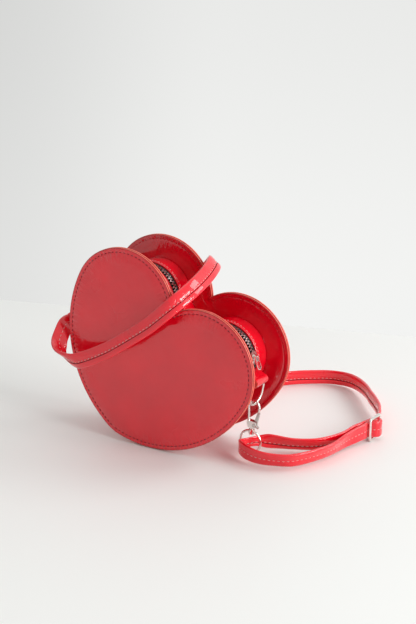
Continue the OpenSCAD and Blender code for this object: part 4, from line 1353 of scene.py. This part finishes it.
def facing(tree, ray, direction, low, high):
    """How far a ray points in a direction, as a smooth step between two cosines."""
    dot = tree.nodes.new("ShaderNodeVectorMath")
    dot.operation = "DOT_PRODUCT"
    tree.links.new(ray, dot.inputs[0])
    dot.inputs[1].default_value = tuple(direction)
    step = tree.nodes.new("ShaderNodeMapRange")
    step.interpolation_type = "SMOOTHSTEP"
    tree.links.new(dot.outputs["Value"], step.inputs["Value"])
    set_inputs(step, From_Min=low, From_Max=high)
    return step.outputs["Result"]


def background(tree, colour, strength):
    node = tree.nodes.new("ShaderNodeBackground")
    set_inputs(node, Color=(*colour, 1))
    tree.links.new(strength, node.inputs["Strength"])
    return node.outputs[0]


def stage_light(scene):
    """Two windows, one behind and to the right and one at the right, and a weak lamp above.
    The camera and mirroring and clear surfaces see a pale wall, darker by up to 0.15 to the
    left and 0.08 above. All else is lit by a room of 0.40, up to 0.60 more behind the purse,
    and at least 0.5 from below."""
    world = bpy.data.worlds.new("room")
    world.use_nodes = True
    tree = world.node_tree
    tree.nodes.clear()
    out = tree.nodes.new("ShaderNodeOutputWorld")
    ray = tree.nodes.new("ShaderNodeTexCoord").outputs["Generated"]
    a, back = CAMERA_AZIMUTH, camera_back()
    side = np.array([math.cos(a), math.sin(a), 0])
    above = np.cross(back, side)
    left = times(tree, facing(tree, ray, -side, -0.02, 0.20), -0.15)
    wall = plus(tree, left, times(tree, facing(tree, ray, above, 0.0, 0.30), -0.08))
    backdrop = background(tree, (0.995, 1.0, 0.985), plus(tree, wall, 0.90))
    pale = times(tree, facing(tree, ray, (-back[0], -back[1], 0.0), 0.0, 0.75), 0.60)
    below = times(tree, facing(tree, ray, (0, 0, -1), -0.02, 0.02), 0.5)
    room = background(tree, (1.0, 0.99, 0.97),
                      maths(tree, "MAXIMUM", plus(tree, pale, 0.40), below))
    path = tree.nodes.new("ShaderNodeLightPath").outputs
    seen = plus(tree, path["Is Camera Ray"], path["Is Glossy Ray"], True)
    seen = plus(tree, seen, path["Is Transmission Ray"], True)
    mix = tree.nodes.new("ShaderNodeMixShader")
    for source, socket in zip((seen, room, backdrop), mix.inputs):
        tree.links.new(source, socket)
    tree.links.new(mix.outputs[0], out.inputs[0])
    scene.world = world
    area_lamp("window", (1.5, 1.3, 1.6), (0.0, 0.0, 0.05), (1.2, 1.2), 17.0)
    area_lamp("side_window", (2.2, -0.12, 0.95), (0.0, 0.0, 0.05), (1.2, 1.0), 36.0)
    area_lamp("sky_light", (-0.3, 0.2, 2.2), (0.0, 0.0, 0.0), (1.6, 1.6), 4.0)


def dress(name, material):
    """A solid whose shape is right keeps it and gets a finished material."""
    node = frame["nodes"][name]
    node.data.materials.clear()
    node.data.materials.append(material)


ROLL_HALF_TURN = math.radians(105)
ROLL_BEVEL = 0.2 * MM
COIL_COUNT = 40


def rolled_tab(side):
    """A strip of leather that comes up from the gusset, goes round the ring's bar and back
    down beside itself, over an inner layer that is rolled round the bar in a spiral. Its
    middle line is two short feet, two straight legs and an arc about the bar; the strip's
    width lies along the bar."""
    s = sizes()
    gusset_r, feet, angle, _ = lobe_marks()
    lobe, t = heart_arcs()["lobe"][0], s.hide_t
    foot = gusset_r + 0.05 * MM + t / 2
    out = np.array([math.cos(angle), math.sin(angle)])
    along = np.array([-out[1], out[0]])
    bar = lobe + (gusset_r + s.tab_lift) * out
    r = s.tab_r - t / 2
    lead = np.linspace(angle - feet, angle - 1.15 * r / gusset_r, 6)
    right = lobe + foot * np.stack([np.cos(lead), np.sin(lead)], -1)
    turn = np.linspace(-ROLL_HALF_TURN, ROLL_HALF_TURN, 29)
    arc = bar + r * (np.cos(turn)[:, None] * out + np.sin(turn)[:, None] * along)
    mirror = 2 * angle - lead[::-1]
    left = lobe + foot * np.stack([np.cos(mirror), np.sin(mirror)], -1)
    spin = np.linspace(0.3, 2 * math.pi + 0.1, COIL_COUNT)
    coil = np.linspace(r - t - 0.12 * MM, r - t - 0.02 * MM, COIL_COUNT)[:, None]
    spiral = bar + coil * (np.cos(spin)[:, None] * out + np.sin(spin)[:, None] * along)
    lines = {"roll": (np.concatenate([right, arc, left]), t), "core": (spiral, 0.8 * t)}
    for part, (uv, thick) in lines.items():
        if side == "left":
            uv = uv * [-1, 1]
        place = leaned(uv, np.full(len(uv), s.tab_y))
        route = smoothed(np.concatenate([place, np.tile([0.0, 1, 0], (len(place), 1))], 1), 3)
        c, q = ROLL_BEVEL, thick / 2
        h = s.tab_l / 2 - (ROLL_BEVEL if part == "core" else 0)
        section = np.array([[h, -q + c], [h, q - c], [h - c, q], [0.5 * h, q], [0, q],
                            [-0.5 * h, q], [c - h, q], [-h, q - c], [-h, c - q], [c - h, -q],
                            [0, -q], [h - c, -q]])
        rows = band(route, section)
        piece = swept(f"tab_{side}_{part}", rows, red_leather(), "bag", [f"tab_{side}"],
                      crisp=(2, 6, 9, 11))
        second_material(piece, edge_material(), columns(rows, (0, 7)), lids=True)


class PURSE_PT_panel(Panel):
    """Lists the purse's pieces."""

    bl_label = "Heart purse"
    bl_idname = "PURSE_PT_panel"
    bl_space_type = "VIEW_3D"
    bl_region_type = "UI"
    bl_category = "Purse"

    def draw(self, context):
        for operator in OPERATORS:
            self.layout.operator(operator.bl_idname)
        for group in (context.scene.purse_sizes, context.scene.purse_strap,
                      context.scene.purse_colours):
            box = self.layout.box()
            for name in group.__annotations__:
                box.prop(group, name)


OPERATORS = (PURSE_OT_stage, PURSE_OT_panels, PURSE_OT_gusset, PURSE_OT_inside, PURSE_OT_zip,
             PURSE_OT_tabs, PURSE_OT_hardware, PURSE_OT_strap, PURSE_OT_buckle, PURSE_OT_stitches)
GROUPS = (PurseSizes, StrapSizes, FinishColours)


def register():
    for cls in (*GROUPS, *OPERATORS, PURSE_PT_panel):
        bpy.utils.register_class(cls)
    bpy.types.Scene.purse_sizes = PointerProperty(type=PurseSizes)
    bpy.types.Scene.purse_strap = PointerProperty(type=StrapSizes)
    bpy.types.Scene.purse_colours = PointerProperty(type=FinishColours)


def unregister():
    for name in ("purse_sizes", "purse_strap", "purse_colours"):
        delattr(bpy.types.Scene, name)
    for cls in reversed((*GROUPS, *OPERATORS, PURSE_PT_panel)):
        bpy.utils.unregister_class(cls)


def main():
    register()
    for operator in OPERATORS:
        group, name = operator.bl_idname.split(".")
        getattr(getattr(bpy.ops, group), name)()
    bpy.context.view_layer.update()


if __name__ == "__main__":
    main()
